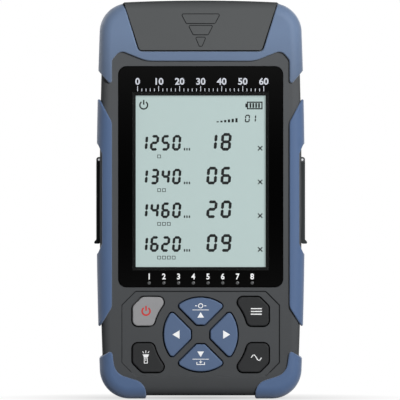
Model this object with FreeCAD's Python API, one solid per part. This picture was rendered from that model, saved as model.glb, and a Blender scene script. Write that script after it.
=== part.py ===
"""Hand-held optical power meter with bumpered case, eight keys, hinged dust cover and side port doors.

Millimetres. X runs across the meter to the right of someone facing the display, Y runs from the
display to the back, Z runs up. The origin is under the middle of the two feet, on the table.
"""

import FreeCAD, Part
import math
import os

V = FreeCAD.Vector

# ---- case envelope -------------------------------------------------------------------------
HALF_WIDTH = 45.7        # grey case, at its widest
HALF_DEPTH = 19.9        # grey case, front face to mid-plane
CASE_TOP = 178.2         # crest of the grey case's top end
RUBBER = 1.4             # thickness of the rubber over the grey case
CASE_BOTTOM = RUBBER     # underside of the grey case; the rubber feet reach the table below it
COVER_RISE = 1.8         # crest of the dust cover above the grey case's
COVER_TOP = CASE_TOP + COVER_RISE
MID_HEIGHT = COVER_TOP / 2
SIDE_BULGE = 2.0         # barrel of the long sides: middle height against the two ends
SIDE_RADIUS = (MID_HEIGHT**2 + SIDE_BULGE**2) / (2 * SIDE_BULGE)
TOP_RADIUS = 700.0       # crown of the top end
TOP_CORNER = 11.8        # corner radii of the grey case in the front view
BOTTOM_CORNER = 12.1
EDGE_RADIUS = 4.0        # rounding between front face and sides
RUBBER_EDGE = 0.6        # rounding of the rubber's raised borders
BEYOND = 5.0             # how far cutting shapes run out past the faces

WALL = 2.4               # side and back walls
FRONT_WALL = 2.8         # wall behind the display and keys
PARTING_Y = -2.5         # plane where the two shells meet
LIP_OUT = 1.25           # outer wall left beside the lip of the rear shell
LIP_HEIGHT = 1.5
LIP_CLEAR = 0.1
SEAM = 0.35              # width and depth of the fine groove round the case at that plane
INSIDE_FRONT = FRONT_WALL - HALF_DEPTH
INSIDE_BACK = HALF_DEPTH - WALL

# ---- rubber guards, in the front view ------------------------------------------------------
GUARD_EDGE = HALF_WIDTH - 5.6       # inner border of the side strips
GUARD_OUT = HALF_WIDTH + 15
SHOULDER_BOTTOM = CASE_TOP - 25.6   # border of the top guard above the display
TONGUE_BOTTOM = CASE_TOP - 37.2     # tip of its tongues at the sides
GRIP_TOP = CASE_TOP - 42.3
GRIP_BOTTOM = 32.4
FOOT_TOP = 21.9
FOOT_EDGE = HALF_WIDTH - 21.0       # where the foot guards end under the case

# ---- display -------------------------------------------------------------------------------
LENS_HALF_WIDTH = HALF_WIDTH - 8.5
LENS_BOTTOM = 50.4
LENS_TOP = CASE_TOP - 28.0
LENS_CORNER = 3.8
LENS_THICKNESS = 1.5
LENS_SINK = 0.2          # lens face below the case's front face
LENS_GAP = 0.15
LENS_LEDGE = 4.2         # width of the ledge that carries the lens
LENS_BACK = -HALF_DEPTH + LENS_SINK + LENS_THICKNESS
TAPE = 0.15              # adhesive gasket behind the lens
TAPE_INSET = 0.2
TAPE_WIDTH = 0.7
GLASS_THICKNESS = 2.6
GLASS_CLEAR = 0.2        # air between case, glass and its frame
GLASS_HALF_WIDTH = LENS_HALF_WIDTH - LENS_LEDGE - 1.0
GLASS_BOTTOM = LENS_BOTTOM + LENS_LEDGE + 1.2
GLASS_TOP = LENS_TOP - LENS_LEDGE - 4.6
FRAME_WALL = 1.4
LIGHT_THICKNESS = 2.0    # backlight plate
BOARD_FRONT = INSIDE_FRONT + GLASS_CLEAR + GLASS_THICKNESS + LIGHT_THICKNESS
BOARD_THICKNESS = 1.6
BOARD_BACK = BOARD_FRONT + BOARD_THICKNESS
BOARD_HALF_WIDTH = HALF_WIDTH - WALL - 2.0
BOARD_BOTTOM = 8.0
BOARD_TOP = LENS_TOP - 0.2
BOARD_CORNER = 9.0
BOARD_TOP_CORNER = 2.0
BOARD_NOTCH_CLEAR = 0.4  # between the board and the screw bosses
BUZZER_PLACE = (-20.0, LENS_TOP - 25.2)
BUZZER_RADIUS = 6.0
BUZZER_HEIGHT = 4.5
BUZZER_HOLE = 1.0
CHIP_SIZE = 14.0
CHIP_THICKNESS = 1.6
CHIP_PLACE = (0.0, LENS_TOP - 32.2)

LED_COUNT = 8
LED_PITCH = 6.65
LED_HEIGHT = LENS_BOTTOM + 1.9
LED_RADIUS = 0.75
LED_HOLE = LED_RADIUS + 0.3
LED_BASE = 2.8
LED_BASE_HALF = 1.0
LED_BASE_HEIGHT = 1.2

# ---- keypad --------------------------------------------------------------------------------
PAD_HALF_WIDTH = HALF_WIDTH - 9.8   # shallow eight-sided field round the keys
PAD_BOTTOM = 9.8
PAD_TOP = LENS_BOTTOM - 1.6
PAD_CHAMFER = 6.4
PAD_CORNER = 1.0
PAD_DEPTH = 0.6
PAD_SLOPE = 0.6          # how far the field's border slopes in
FIELD_Y = PAD_DEPTH - HALF_DEPTH
NAV_HEIGHT = 29.0        # centre of the four arrow keys
NAV_RADIUS = 16.7
NAV_BAND = 1.8           # half the bar between neighbouring arrow keys
NAV_INNER = 4.4
NAV_CORNER = 1.3
CORNER_KEY_RADIUS = 21.6 # concave side of the corner keys, round the arrow keys
CORNER_KEY_OUT = 30.8
CORNER_KEY_LOW = 3.9
CORNER_KEY_HIGH = 17.0
CORNER_KEY_CHAMFER = 4.3
CORNER_KEY_CORNER = 2.5
KEY_GAP = 0.6
KEY_PROUD = 1.1          # key face above the keypad field
KEY_EDGE = 0.6
FLANGE_GROW = KEY_GAP + 0.4
FLANGE_THICKNESS = 0.8
SLIP = 0.05              # clearance between a key's flange and the case
MAT_THICKNESS = 1.0
MAT_CORNER = 3.0
MAT_INSET = 1.0          # inside the field's top and bottom
DOME_BASE = 3.0
DOME_TOP = 1.9
DOME_REACH = 10.5        # from the centre of the arrow keys to the middle of one
DOME_OUT = 24.5          # the same for a corner key, sideways and up
DOME_UP = 10.5

# ---- dust cover and connector bay ----------------------------------------------------------
COVER_BOTTOM = COVER_TOP - 22.5
COVER_HALF_TOP = HALF_WIDTH - 11.1
COVER_HALF_BOTTOM = COVER_HALF_TOP - 7.0
COVER_CORNER = 1.6
COVER_THICKNESS = 2.2
COVER_GAP = 0.6          # round the cover, in the front view
COVER_SEAT = 0.3         # behind and under the cover
COVER_PROUD = 1.0        # cover's face in front of the grey case
COVER_FACE = -HALF_DEPTH - COVER_PROUD
COVER_BEND = 2.4         # rounding between its front and its top
COVER_INNER_BEND = 1.0
COVER_RIBS = (7.5, 24.0)  # stiffening ribs inside the cover, on each side of its middle
COVER_RIB_WIDTH = 1.2
COVER_RIB_HEIGHT = 1.4
COVER_RIB_CLEAR = 1.5    # over the bay's floor and before its back wall
THUMB_RISE = 0.4         # height of the raised thumb pads on the cover
THUMB_GROOVE = 0.35      # width and depth of the fine groove round each pad
THUMB_PADS = ((6.3, 10.3, 8.5, 6.4), (11.5, 15.4, 5.3, 3.3), (16.8, 20.6, 2.15, 0.5))
HINGE_BARREL = 2.6
HINGE_PIN = 1.0
HINGE_RUN = 0.06         # running clearance of the cover on its pin
PIN_FIT = 0.02           # clearance of a hinge pin in the case
HINGE_Y = HALF_DEPTH - HINGE_BARREL - 1.8
HINGE_Z = COVER_TOP - HINGE_BARREL - 0.6
KNUCKLE_GAP = 0.4
COVER_RELIEF = 2.0       # the cover's rear corners are cut back by this, to swing past the rubber
KNUCKLE_INNER = 13.6     # half-length of the middle knuckle
KNUCKLE_OUTER = 2.3      # length of the outer knuckles
HINGE_FLOOR = HINGE_Z - HINGE_BARREL - KNUCKLE_GAP
BAY_HALF_WIDTH = COVER_HALF_BOTTOM + 1.4
BAY_WALL = 2.4
BAY_BACK = HINGE_Y - HINGE_BARREL - KNUCKLE_GAP - BAY_WALL
BAY_FLOOR = COVER_TOP - 14.5
PANEL_THICKNESS = 2.0
PANEL_INTO_WALL = 1.0
PANEL_CLEAR = 0.1
PORT_X = 15.0
PORT_Y = -3.5
PORT_BARREL = 4.0
PORT_MOUTH = 3.0
PORT_MOUTH_DEPTH = 4.0   # annular room for the mating connector round the sleeve
PORT_TOP = COVER_TOP - COVER_THICKNESS - 2.4
PORT_FLANGE = 12.0
PORT_FLANGE_THICKNESS = 1.5
PORT_FLANGE_CORNER = 1.2
PORT_SCREW = 0.8
PORT_SCREW_HEAD = 1.4
PORT_SCREW_HEAD_HEIGHT = 0.9
PORT_SCREW_INSET = 1.7
SLEEVE_OUT = 1.6
SLEEVE_BORE = 1.25
SLEEVE_LENGTH = 8.0
SLEEVE_SINK = 0.6        # sleeve's end below the barrel's mouth
DETECTOR_RADIUS = PORT_BARREL + 0.6
DETECTOR_LENGTH = 9.0
DETECTOR_LEAD = 1.2
DETECTOR_LEAD_LENGTH = 2.0
TORCH_RADIUS = 3.0
TORCH_LED_RADIUS = 2.4
TORCH_LED_LENGTH = 3.6
TORCH_LED_RISE = 0.6     # lamp's tip above the underside of the bay's floor
TORCH_DOME = 3.75
TORCH_RISE = 0.8         # crest of the torch lens above the bay's floor

# ---- side doors and sockets ----------------------------------------------------------------
SOCKET_HALF_HEIGHT = 8.0
SOCKET_DEPTH = 13.2
SOCKET_LENGTH = 18.0
SOCKET_CLEAR = 0.2
SOCKET_FACE = HALF_WIDTH - 0.5
SOCKET_MIDDLE = 89.0     # height midway between the two network sockets
SOCKET_PITCH = 2 * SOCKET_HALF_HEIGHT + 0.8
SOCKET_HEIGHTS = (SOCKET_MIDDLE - SOCKET_PITCH / 2, SOCKET_MIDDLE + SOCKET_PITCH / 2)
SOCKET_MOUTH = 5.95      # half-height of the plug opening
SOCKET_MOUTH_DEPTH = 7.6
SOCKET_FLOOR = 1.6
SOCKET_REACH = 13.0
LATCH_HALF = 3.2
LATCH_DEPTH = 2.0
CONTACT_COUNT = 8
CONTACT_PITCH = 1.02
CONTACT_WIDTH = 0.4
CONTACT_RISE = 2.6       # spring tip above the floor of the plug opening
CONTACT_TIP = 6.0        # tip below the socket's face
DOOR_BARREL = 1.25
DOOR_PIN = 0.5
DOOR_RUN = 0.05
DOOR_CLEAR = 0.15        # between the door and the case's side
DOOR_PLATE = 1.4
DOOR_SIDE_GAP = 0.2      # between the door's barrel and the case's lugs
DOOR_ROOM = 0.3          # round the barrel, in the case
DOOR_BOTTOM = SOCKET_MIDDLE - 19.0
DOOR_TOP = SOCKET_MIDDLE + 20.3
DOOR_OUT = HALF_WIDTH + DOOR_CLEAR + DOOR_PLATE
DOOR_Y = BOARD_BACK + SOCKET_DEPTH / 2
DOOR_HALF_DEPTH = SOCKET_DEPTH / 2 + 4.2
HINGE_DOOR_X = DOOR_OUT - DOOR_BARREL
HINGE_DOOR_Z = DOOR_TOP - DOOR_BARREL
LUG_LENGTH = 2.2
NUB_OUT = DOOR_OUT + 0.95           # finger lip at the door's lower end
NUB_HEIGHT = 2.3
NUB_INSET = 4.0          # its ends inside the door's
NOTCH_X = HALF_WIDTH - 1.1          # inner side of the notch in the rubber strips
NOTCH_TOP = DOOR_TOP + 1.5
NOTCH_BOTTOM = DOOR_BOTTOM - 0.1
NOTCH_SLOPE = 3.8
NOTCH_KNEE = 1.7         # from its inner side to where its ends steepen
USB_HEIGHT = SOCKET_MIDDLE + 8.0
USB_HALF_LENGTH = 4.5
USB_HALF_HEIGHT = 1.6
USB_SHEET = 0.35
USB_LENGTH = 7.4
USB_TONGUE = 3.2         # half-height of the contact tongue
USB_RECESS = 1.2         # its tip below the socket's mouth
CHARGE_HEIGHT = SOCKET_MIDDLE - 7.0
CHARGE_AXIS = 5.0        # above the board
CHARGE_RADIUS = 4.0
CHARGE_BORE = 3.0
CHARGE_PIN = 0.95
CHARGE_HALF = 4.6        # half-height of the jack's body
CHARGE_LENGTH = 14.0
CHARGE_BORE_DEPTH = 9.5

# ---- back: battery, kickstand, screws ------------------------------------------------------
CELL_COUNT = 3
CELL_RADIUS = 7.25
CELL_LENGTH = 50.5
CELL_CLEAR = 0.3
CELL_NUB = 2.75
CELL_NUB_HEIGHT = 1.0
CELL_EDGE = 0.6
SPRING_ROOM = 3.8        # under the cells
BUTTON_ROOM = 1.9        # over the cells
CONTACT_PLATE = 0.5      # thickness of the contact plates at both ends
CONTACT_HALF = 5.5
SPRING_RADIUS = 3.0
SPRING_BORE = 2.2
BATTERY_DOOR_BOTTOM = 9.0
BATTERY_DOOR_THICKNESS = 1.6
BATTERY_DOOR_GAP = 0.2
BATTERY_DOOR_CORNER = 3.0
HOOK_X = 15.0            # hooks at the door's foot, under the case's back wall
HOOK_HALF = 3.0
HOOK_THICKNESS = 1.2
HOOK_REACH = 1.6         # beyond the door's edge
HOOK_ROOT = 1.8
HOOK_CLEAR = 0.15
CATCH_HALF = 10.0        # sprung catch at the door's head, between two slots
CATCH_LENGTH = 15.0
CATCH_SLOT = 0.9
CATCH_HOOK_HALF = 5.0
CATCH_HOOK_REACH = 0.9
THUMB_RIBS = 5           # grooves on the catch and the arrow under them: press down, then lift
THUMB_RIB_PITCH = 2.2
THUMB_RIB_WIDTH = 1.0
THUMB_RIB_HALF = 8.0
THUMB_DEPTH = 0.5
THUMB_ARROW = 4.0
BATTERY_LEDGE = 2.4      # ledge round the well that carries the door
BATTERY_SIDE_LEDGE = 3.35
WELL_BOTTOM = BATTERY_DOOR_BOTTOM + BATTERY_LEDGE
CELL_BOTTOM = WELL_BOTTOM + SPRING_ROOM
WELL_TOP = CELL_BOTTOM + CELL_LENGTH + BUTTON_ROOM
WELL_WALL = 1.4
WELL_HALF_WIDTH = CELL_COUNT * (CELL_RADIUS + CELL_CLEAR)
BATTERY_DOOR_TOP = WELL_TOP + BATTERY_LEDGE
BATTERY_DOOR_HALF = WELL_HALF_WIDTH + BATTERY_SIDE_LEDGE
CELL_Y = HALF_DEPTH - BATTERY_DOOR_THICKNESS - CELL_CLEAR - CELL_RADIUS
WELL_FLOOR = CELL_Y - CELL_RADIUS - CELL_CLEAR

STAND_HALF_WIDTH = 20.0
STAND_HALF_FOOT = 15.0
STAND_TOP = CASE_TOP - 32.2         # hinge axis
STAND_BOTTOM = BATTERY_DOOR_TOP + 8.0
STAND_THICKNESS = 3.2
STAND_SINK = 0.2         # stand's face below the back of the case
STAND_GAP = 0.5
STAND_STUB = 1.1
STAND_STUB_LENGTH = 2.2
STAND_CORNER = 4.0
STAND_STRAIGHT = 12.0    # length under the hinge axis before the stand tapers
STAND_RIM = 3.4          # frame left round its hollow panel
STAND_PANEL_DEPTH = 0.6
STAND_PANEL_CORNER = 2.0
STAND_PANEL_END = 8.0
SCOOP_RADIUS = 9.0       # finger scoop at its foot
SCOOP_RISE = 5.5         # centre of the scoop behind the back of the case
STAND_RUN = 0.08
STAND_BACKING = 1.4
STAND_Y = HALF_DEPTH - STAND_SINK - STAND_THICKNESS / 2
STAND_FLOOR = STAND_Y - STAND_THICKNESS / 2 - STAND_GAP

SCREW_X = HALF_WIDTH - 8.9
SCREW_HEIGHTS = (27.0, BATTERY_DOOR_TOP - 4.4, CASE_TOP - 35.2)
SCREW_RADIUS = 1.3
SCREW_CLEAR = 0.2
SCREW_END_Y = -13.5
HEAD_RADIUS = 2.5
HEAD_HEIGHT = 2.0
HEAD_SEAT = HALF_DEPTH - 6.0        # plane under the screw heads
HEAD_SOCKET = 1.1        # drive recess in the screw heads
HEAD_SOCKET_DEPTH = 1.2
BOSS_FRONT = 2.9
BOSS_BACK = 4.2
MAT_HALF_WIDTH = SCREW_X - BOSS_FRONT - 0.9
BOARD_SCREW_X = HALF_WIDTH - 7.3
BOARD_SCREW_HEIGHTS = (46.0, LENS_TOP - 30.2)
BOARD_SCREW_RADIUS = 1.0
BOARD_SCREW_HEAD = 2.0
BOARD_SCREW_HEAD_HEIGHT = 1.5
BOARD_SCREW_LENGTH = 4.5


# ---- helpers -------------------------------------------------------------------------------
def arc(start, centre, radius, end):
    """Arc about centre from start to end, the short way, in the plane Y = 0."""
    middle = (start - centre).normalize() + (end - centre).normalize()
    return Part.Arc(start, centre + middle.normalize() * radius, end).toShape()


def outline(grow):
    """Front outline of the case, grown outwards by grow."""
    side = V(HALF_WIDTH - SIDE_RADIUS, 0, MID_HEIGHT)
    top = V(0, 0, CASE_TOP - TOP_RADIUS)
    low_z = CASE_BOTTOM + BOTTOM_CORNER
    reach = SIDE_RADIUS - BOTTOM_CORNER
    low = V(side.x + math.sqrt(reach**2 - (low_z - MID_HEIGHT) ** 2), 0, low_z)
    r_side = SIDE_RADIUS - TOP_CORNER
    r_top = TOP_RADIUS - TOP_CORNER
    between = top - side
    span = between.Length
    along = (r_side**2 - r_top**2 + span**2) / (2 * span)
    across = math.sqrt(r_side**2 - along**2)
    unit = V(between).normalize()
    high = side + unit * along + V(unit.z, 0, -unit.x) * across
    if high.x < 0 or high.z < MID_HEIGHT:
        high = side + unit * along - V(unit.z, 0, -unit.x) * across

    on_side_low = side + (low - side).normalize() * (SIDE_RADIUS + grow)
    on_side_high = side + (high - side).normalize() * (SIDE_RADIUS + grow)
    on_top = top + (high - top).normalize() * (TOP_RADIUS + grow)
    on_bottom = V(low.x, 0, CASE_BOTTOM - grow)

    def flip(p):
        return V(-p.x, p.y, p.z)

    edges = [
        Part.LineSegment(flip(on_bottom), on_bottom).toShape(),
        arc(on_bottom, low, BOTTOM_CORNER + grow, on_side_low),
        arc(on_side_low, side, SIDE_RADIUS + grow, on_side_high),
        arc(on_side_high, high, TOP_CORNER + grow, on_top),
        arc(on_top, top, TOP_RADIUS + grow, flip(on_top)),
        arc(flip(on_top), flip(high), TOP_CORNER + grow, flip(on_side_high)),
        arc(flip(on_side_high), flip(side), SIDE_RADIUS + grow, flip(on_side_low)),
        arc(flip(on_side_low), flip(low), BOTTOM_CORNER + grow, flip(on_bottom)),
    ]
    return Part.Wire(edges)


def extrude(wire, y0, y1):
    """Solid between the planes y0 and y1 over a closed wire drawn at Y = 0."""
    face = Part.Face(wire)
    face.translate(V(0, y0, 0))
    return face.extrude(V(0, y1 - y0, 0))


def envelope(grow, front, back, edge):
    """Case form grown by grow in the front view, with its front and back rims rounded."""
    solid = extrude(outline(grow), front, back)
    rims = [e for e in solid.Edges if e.BoundBox.YLength < 1e-6]
    return solid.makeFillet(edge, rims)


def rounded(points):
    """Closed wire at Y = 0 through corners (x, z, radius), each rounded by its radius."""
    count = len(points)
    starts, ends, middles = [], [], []
    for i, (x, z, r) in enumerate(points):
        here = V(x, 0, z)
        before = V(points[i - 1][0], 0, points[i - 1][1])
        after = V(points[(i + 1) % count][0], 0, points[(i + 1) % count][1])
        a = (before - here).normalize()
        b = (after - here).normalize()
        half = a.getAngle(b) / 2
        if r <= 0 or abs(half - math.pi / 2) < 1e-4:
            starts.append(here)
            ends.append(here)
            middles.append(None)
            continue
        run = r / math.tan(half)
        centre = here + (a + b).normalize() * (r / math.sin(half))
        starts.append(here + a * run)
        ends.append(here + b * run)
        middles.append(centre + (here - centre).normalize() * r)
    edges = []
    for i in range(count):
        if middles[i] is not None:
            edges.append(Part.Arc(starts[i], middles[i], ends[i]).toShape())
        start, end = ends[i], starts[(i + 1) % count]
        if (end - start).Length > 1e-6:
            edges.append(Part.LineSegment(start, end).toShape())
    return Part.Wire(edges)


def plate(points, y0, y1):
    return extrude(rounded(points), y0, y1)


def block(x0, x1, y0, y1, z0, z1):
    return Part.makeBox(x1 - x0, y1 - y0, z1 - z0, V(x0, y0, z0))


def rounded_block(half, z0, z1, r, y0, y1):
    """Plate symmetrical about X = 0 with rounded corners in the front view."""
    return plate([(-half, z0, r), (half, z0, r), (half, z1, r), (-half, z1, r)], y0, y1)


def bar_x(x0, x1, y, z, r):
    return Part.makeCylinder(r, x1 - x0, V(x0, y, z), V(1, 0, 0))


def bar_y(y0, y1, x, z, r):
    return Part.makeCylinder(r, y1 - y0, V(x, y0, z), V(0, 1, 0))


def bar_z(z0, z1, x, y, r):
    return Part.makeCylinder(r, z1 - z0, V(x, y, z0), V(0, 0, 1))


def mirrored(shape):
    return shape.mirror(V(0, 0, 0), V(1, 0, 0))


def both_sides(shape):
    return shape.fuse(mirrored(shape))


def fuse_all(shapes):
    return shapes[0].multiFuse(shapes[1:]) if len(shapes) > 1 else shapes[0]


def edges_on(solid, *surfaces, tolerance=1e-3):
    """Edges of solid that lie on every one of the given shapes."""
    found = []
    for edge in solid.Edges:
        first, last = edge.FirstParameter, edge.LastParameter
        samples = [edge.valueAt(first + (last - first) * t) for t in (0.2, 0.5, 0.8)]
        if all(s.distToShape(Part.Vertex(p))[0] < tolerance for p in samples for s in surfaces):
            found.append(edge)
    return found


def edges_along_y(solid):
    """Straight edges that run front to back."""
    return [
        e for e in solid.Edges
        if e.BoundBox.XLength < 1e-6 and e.BoundBox.ZLength < 1e-6
    ]


def save(name, shape):
    if shape.ShapeType == "Compound" and len(shape.Solids) == 1:
        shape = shape.Solids[0]
    if not shape.isValid():
        raise ValueError(f"{name} isn't a valid shape")
    if shape.Volume <= 0:
        raise ValueError(f"{name} has no volume")
    shape.exportStep(f"parts/{name}.step")
    print(f"{name}: {len(shape.Solids)} solid(s), {shape.Volume:.1f} mm3")


# ---- case form -----------------------------------------------------------------------------
def case_form():
    return envelope(0, -HALF_DEPTH, HALF_DEPTH, EDGE_RADIUS)


def rubber_form():
    depth = HALF_DEPTH + RUBBER
    return envelope(RUBBER, -depth, depth, EDGE_RADIUS + RUBBER)


def hollow_form():
    return envelope(-WALL, INSIDE_FRONT, INSIDE_BACK, EDGE_RADIUS - WALL)


def over_depth(points):
    """Prism over the whole depth of the case and beyond."""
    return plate(points, -HALF_DEPTH - BEYOND, HALF_DEPTH + BEYOND)


# ---- rubber --------------------------------------------------------------------------------
def rubber_piece(points, cut, back_too, form, case):
    """Skin of rubber over the case inside an outline, less one cut, its borders rounded."""
    region = over_depth(points)
    solid = form.common(region)
    borders = edges_on(solid, Part.Compound(region.Faces), Part.Compound(form.Faces))
    solid = solid.makeFillet(RUBBER_EDGE, borders)
    if cut:
        skin = Part.Compound(solid.Faces)
        solid = solid.cut(cut)
        borders = edges_on(solid, Part.Compound(cut.Faces), skin)
        solid = solid.makeFillet(RUBBER_EDGE, [e for e in borders if back_too or e.BoundBox.YMin < 0])
    return solid.cut(case)


def shoulder_outline():
    """Top end down to the wavy border above the display, with a tongue down each side."""
    edge, low, tip, out = GUARD_EDGE, SHOULDER_BOTTOM, TONGUE_BOTTOM, GUARD_OUT
    half = [
        (0, low, 0), (edge - 15.5, low, 16), (edge - 3.7, low + 4.8, 3.6), (edge, low + 0.4, 3.0),
        (edge, tip, 1.0), (edge + 6.5, tip + 7.7, 0.9), (out, tip + 7.7, 0), (out, COVER_TOP + 20, 0),
    ]
    return half + [(-x, z, r) for x, z, r in reversed(half) if x > 0]


def grip_outline():
    """Strip along the right side."""
    edge, top, low, out = GUARD_EDGE, GRIP_TOP, GRIP_BOTTOM, GUARD_OUT
    return [
        (edge, top - 10.9, 5.0), (edge + 5.8, top, 2.0), (out, top, 0),
        (out, low, 0), (edge + 5.5, low, 2.0), (edge, low + 8.9, 5.0),
    ]


def notch_outline():
    """Opening in the right grip that leaves room for the side door."""
    shallow, steep = NOTCH_SLOPE, NOTCH_SLOPE * 6
    return [
        (GUARD_OUT, NOTCH_TOP + steep, 0), (NOTCH_X + NOTCH_KNEE, NOTCH_TOP + shallow, 1.0),
        (NOTCH_X, NOTCH_TOP, 1.2), (NOTCH_X, NOTCH_BOTTOM, 1.2),
        (NOTCH_X + NOTCH_KNEE, NOTCH_BOTTOM - shallow, 1.0), (GUARD_OUT, NOTCH_BOTTOM - steep, 0),
    ]


def foot_outline():
    """Lower right corner."""
    edge, out, under = GUARD_EDGE, GUARD_OUT, -10
    return [
        (edge, FOOT_TOP, 1.2), (edge + 6.8, FOOT_TOP - 4.1, 1.0), (out, FOOT_TOP - 4.1, 0),
        (out, under, 0), (FOOT_EDGE, under, 0), (FOOT_EDGE, 7.0, 6.5), (edge - 1.5, 11.4, 7.0),
    ]


def make_rubber(case):
    form = rubber_form()
    save("top_bumper", rubber_piece(shoulder_outline(), cover_room(), False, form, case))
    grip = rubber_piece(grip_outline(), over_depth(notch_outline()), True, form, case)
    save("grip_right", grip)
    save("grip_left", mirrored(grip))
    foot = rubber_piece(foot_outline(), None, True, form, case)
    save("foot_right", foot)
    save("foot_left", mirrored(foot))


# ---- dust cover ----------------------------------------------------------------------------
def cover_half(z):
    """Half-width of the dust cover at height z."""
    slope = (COVER_HALF_TOP - COVER_HALF_BOTTOM) / (COVER_TOP - COVER_BOTTOM)
    return COVER_HALF_BOTTOM + slope * (z - COVER_BOTTOM)


def cover_outline(gap):
    """Front outline of the cover, grown by gap and running out over the top of the case."""
    low = COVER_BOTTOM - gap
    low_half = cover_half(low) + gap
    top_half = cover_half(COVER_TOP) + gap
    over = COVER_TOP + BEYOND
    corner = COVER_CORNER + gap
    return [
        (-low_half, low, corner), (low_half, low, corner), (top_half, COVER_TOP, 0),
        (top_half, over, 0), (-top_half, over, 0), (-top_half, COVER_TOP, 0),
    ]


def cover_prism(y0, y1, floor):
    """Room over the cover's outline between two depths, above the height floor."""
    prism = plate(cover_outline(COVER_GAP), y0, y1)
    return prism.cut(block(-HALF_WIDTH, HALF_WIDTH, y0 - 1, y1 + 1, 0, floor)) if floor else prism


def cover_room():
    """What the rubber leaves free for the cover and its hinge."""
    front = cover_prism(-HALF_DEPTH - BEYOND, HINGE_Y, 0)
    return front.fuse(cover_prism(HINGE_Y, HALF_DEPTH + BEYOND, HINGE_FLOOR)).removeSplitter()


def cover_recess():
    """Step in the shells behind and under the cover, and the room for its hinge."""
    front, back = -HALF_DEPTH - BEYOND, HALF_DEPTH + BEYOND
    step = COVER_FACE + COVER_THICKNESS + COVER_SEAT
    return fuse_all([
        cover_prism(front, step, 0),
        cover_prism(step, back, COVER_TOP - COVER_THICKNESS - COVER_SEAT),
        cover_prism(HINGE_Y - HINGE_BARREL - KNUCKLE_GAP, back, HINGE_FLOOR),
    ]).removeSplitter()


def thumb_outline(below_top, above_top, half_high, half_low):
    high, low, corner = COVER_TOP - below_top, COVER_TOP - above_top, THUMB_RISE
    return rounded([
        (-half_low, low, corner), (half_low, low, corner),
        (half_high, high, corner), (-half_high, high, corner),
    ])


def thumb_groove(pad):
    """Fine groove round a thumb pad."""
    face = Part.Face(thumb_outline(*pad))
    ring = face.makeOffset2D(THUMB_GROOVE).cut(face)
    ring.translate(V(0, COVER_FACE - 1, 0))
    return ring.extrude(V(0, 1 + THUMB_GROOVE, 0))


def thumb_pad(pad):
    """Raised pad that ramps up from the cover's face towards its lower edge."""
    below_top, above_top, half_high, _ = pad
    high, low = COVER_TOP - below_top, COVER_TOP - above_top
    root = COVER_FACE + THUMB_RISE / 2
    side = Part.makePolygon([
        V(-half_high, root, low), V(-half_high, COVER_FACE - THUMB_RISE, low),
        V(-half_high, COVER_FACE, high), V(-half_high, root, high), V(-half_high, root, low),
    ])
    wedge = Part.Face(side).extrude(V(2 * half_high, 0, 0))
    return wedge.common(extrude(thumb_outline(*pad), COVER_FACE - 1, COVER_FACE + 1))


def knuckle_spans():
    """X ranges of the hinge: the case's own knuckles, then the cover's."""
    end = cover_half(HINGE_FLOOR)
    start = end - KNUCKLE_OUTER
    case = [(-end, -start), (-KNUCKLE_INNER, KNUCKLE_INNER), (start, end)]
    inner = KNUCKLE_INNER + KNUCKLE_GAP
    outer = start - KNUCKLE_GAP
    return case, [(-outer, -inner), (inner, outer)]


def cover_block():
    """Outer form of the cover: its front outline with a crowned top, run back to the hinge."""
    half = cover_half(COVER_TOP)
    corner_z = COVER_TOP - TOP_RADIUS + math.sqrt(TOP_RADIUS**2 - half**2)
    low_half = cover_half(COVER_BOTTOM)
    flat = rounded([
        (-low_half, COVER_BOTTOM, COVER_CORNER), (low_half, COVER_BOTTOM, COVER_CORNER),
        (half, corner_z, 0), (-half, corner_z, 0),
    ])
    left, right = V(-half, 0, corner_z), V(half, 0, corner_z)
    crown = Part.Wire([
        Part.Arc(left, V(0, 0, COVER_TOP), right).toShape(), Part.LineSegment(right, left).toShape(),
    ])
    solid = extrude(flat, COVER_FACE, HINGE_Y).fuse(extrude(crown, COVER_FACE, HINGE_Y)).removeSplitter()
    crest = [
        e for e in solid.Edges
        if abs(e.BoundBox.YMax - COVER_FACE) < 1e-3 and e.BoundBox.ZMin > corner_z - 0.05
    ]
    return solid.makeFillet(COVER_BEND, crest)


def cover_ribs():
    """Ribs that run up the inside of the cover's front and back under its top."""
    rise, root = COVER_RIB_HEIGHT, COVER_THICKNESS / 4
    face, under = COVER_FACE + COVER_THICKNESS, COVER_TOP - COVER_THICKNESS
    foot, end = BAY_FLOOR + COVER_RIB_CLEAR, BAY_BACK - COVER_RIB_CLEAR
    side = [
        (face - root, foot), (face, foot), (face + rise, foot + rise), (face + rise, under - 2 * rise),
        (face + 2 * rise, under - rise), (end - rise, under - rise), (end, under), (end, under + root),
        (face - root, under + root), (face - root, foot),
    ]
    ribs = []
    for x in COVER_RIBS:
        wire = Part.makePolygon([V(x - COVER_RIB_WIDTH / 2, y, z) for y, z in side])
        ribs.append(Part.Face(wire).extrude(V(COVER_RIB_WIDTH, 0, 0)))
    return ribs + [mirrored(rib) for rib in ribs]


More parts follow.
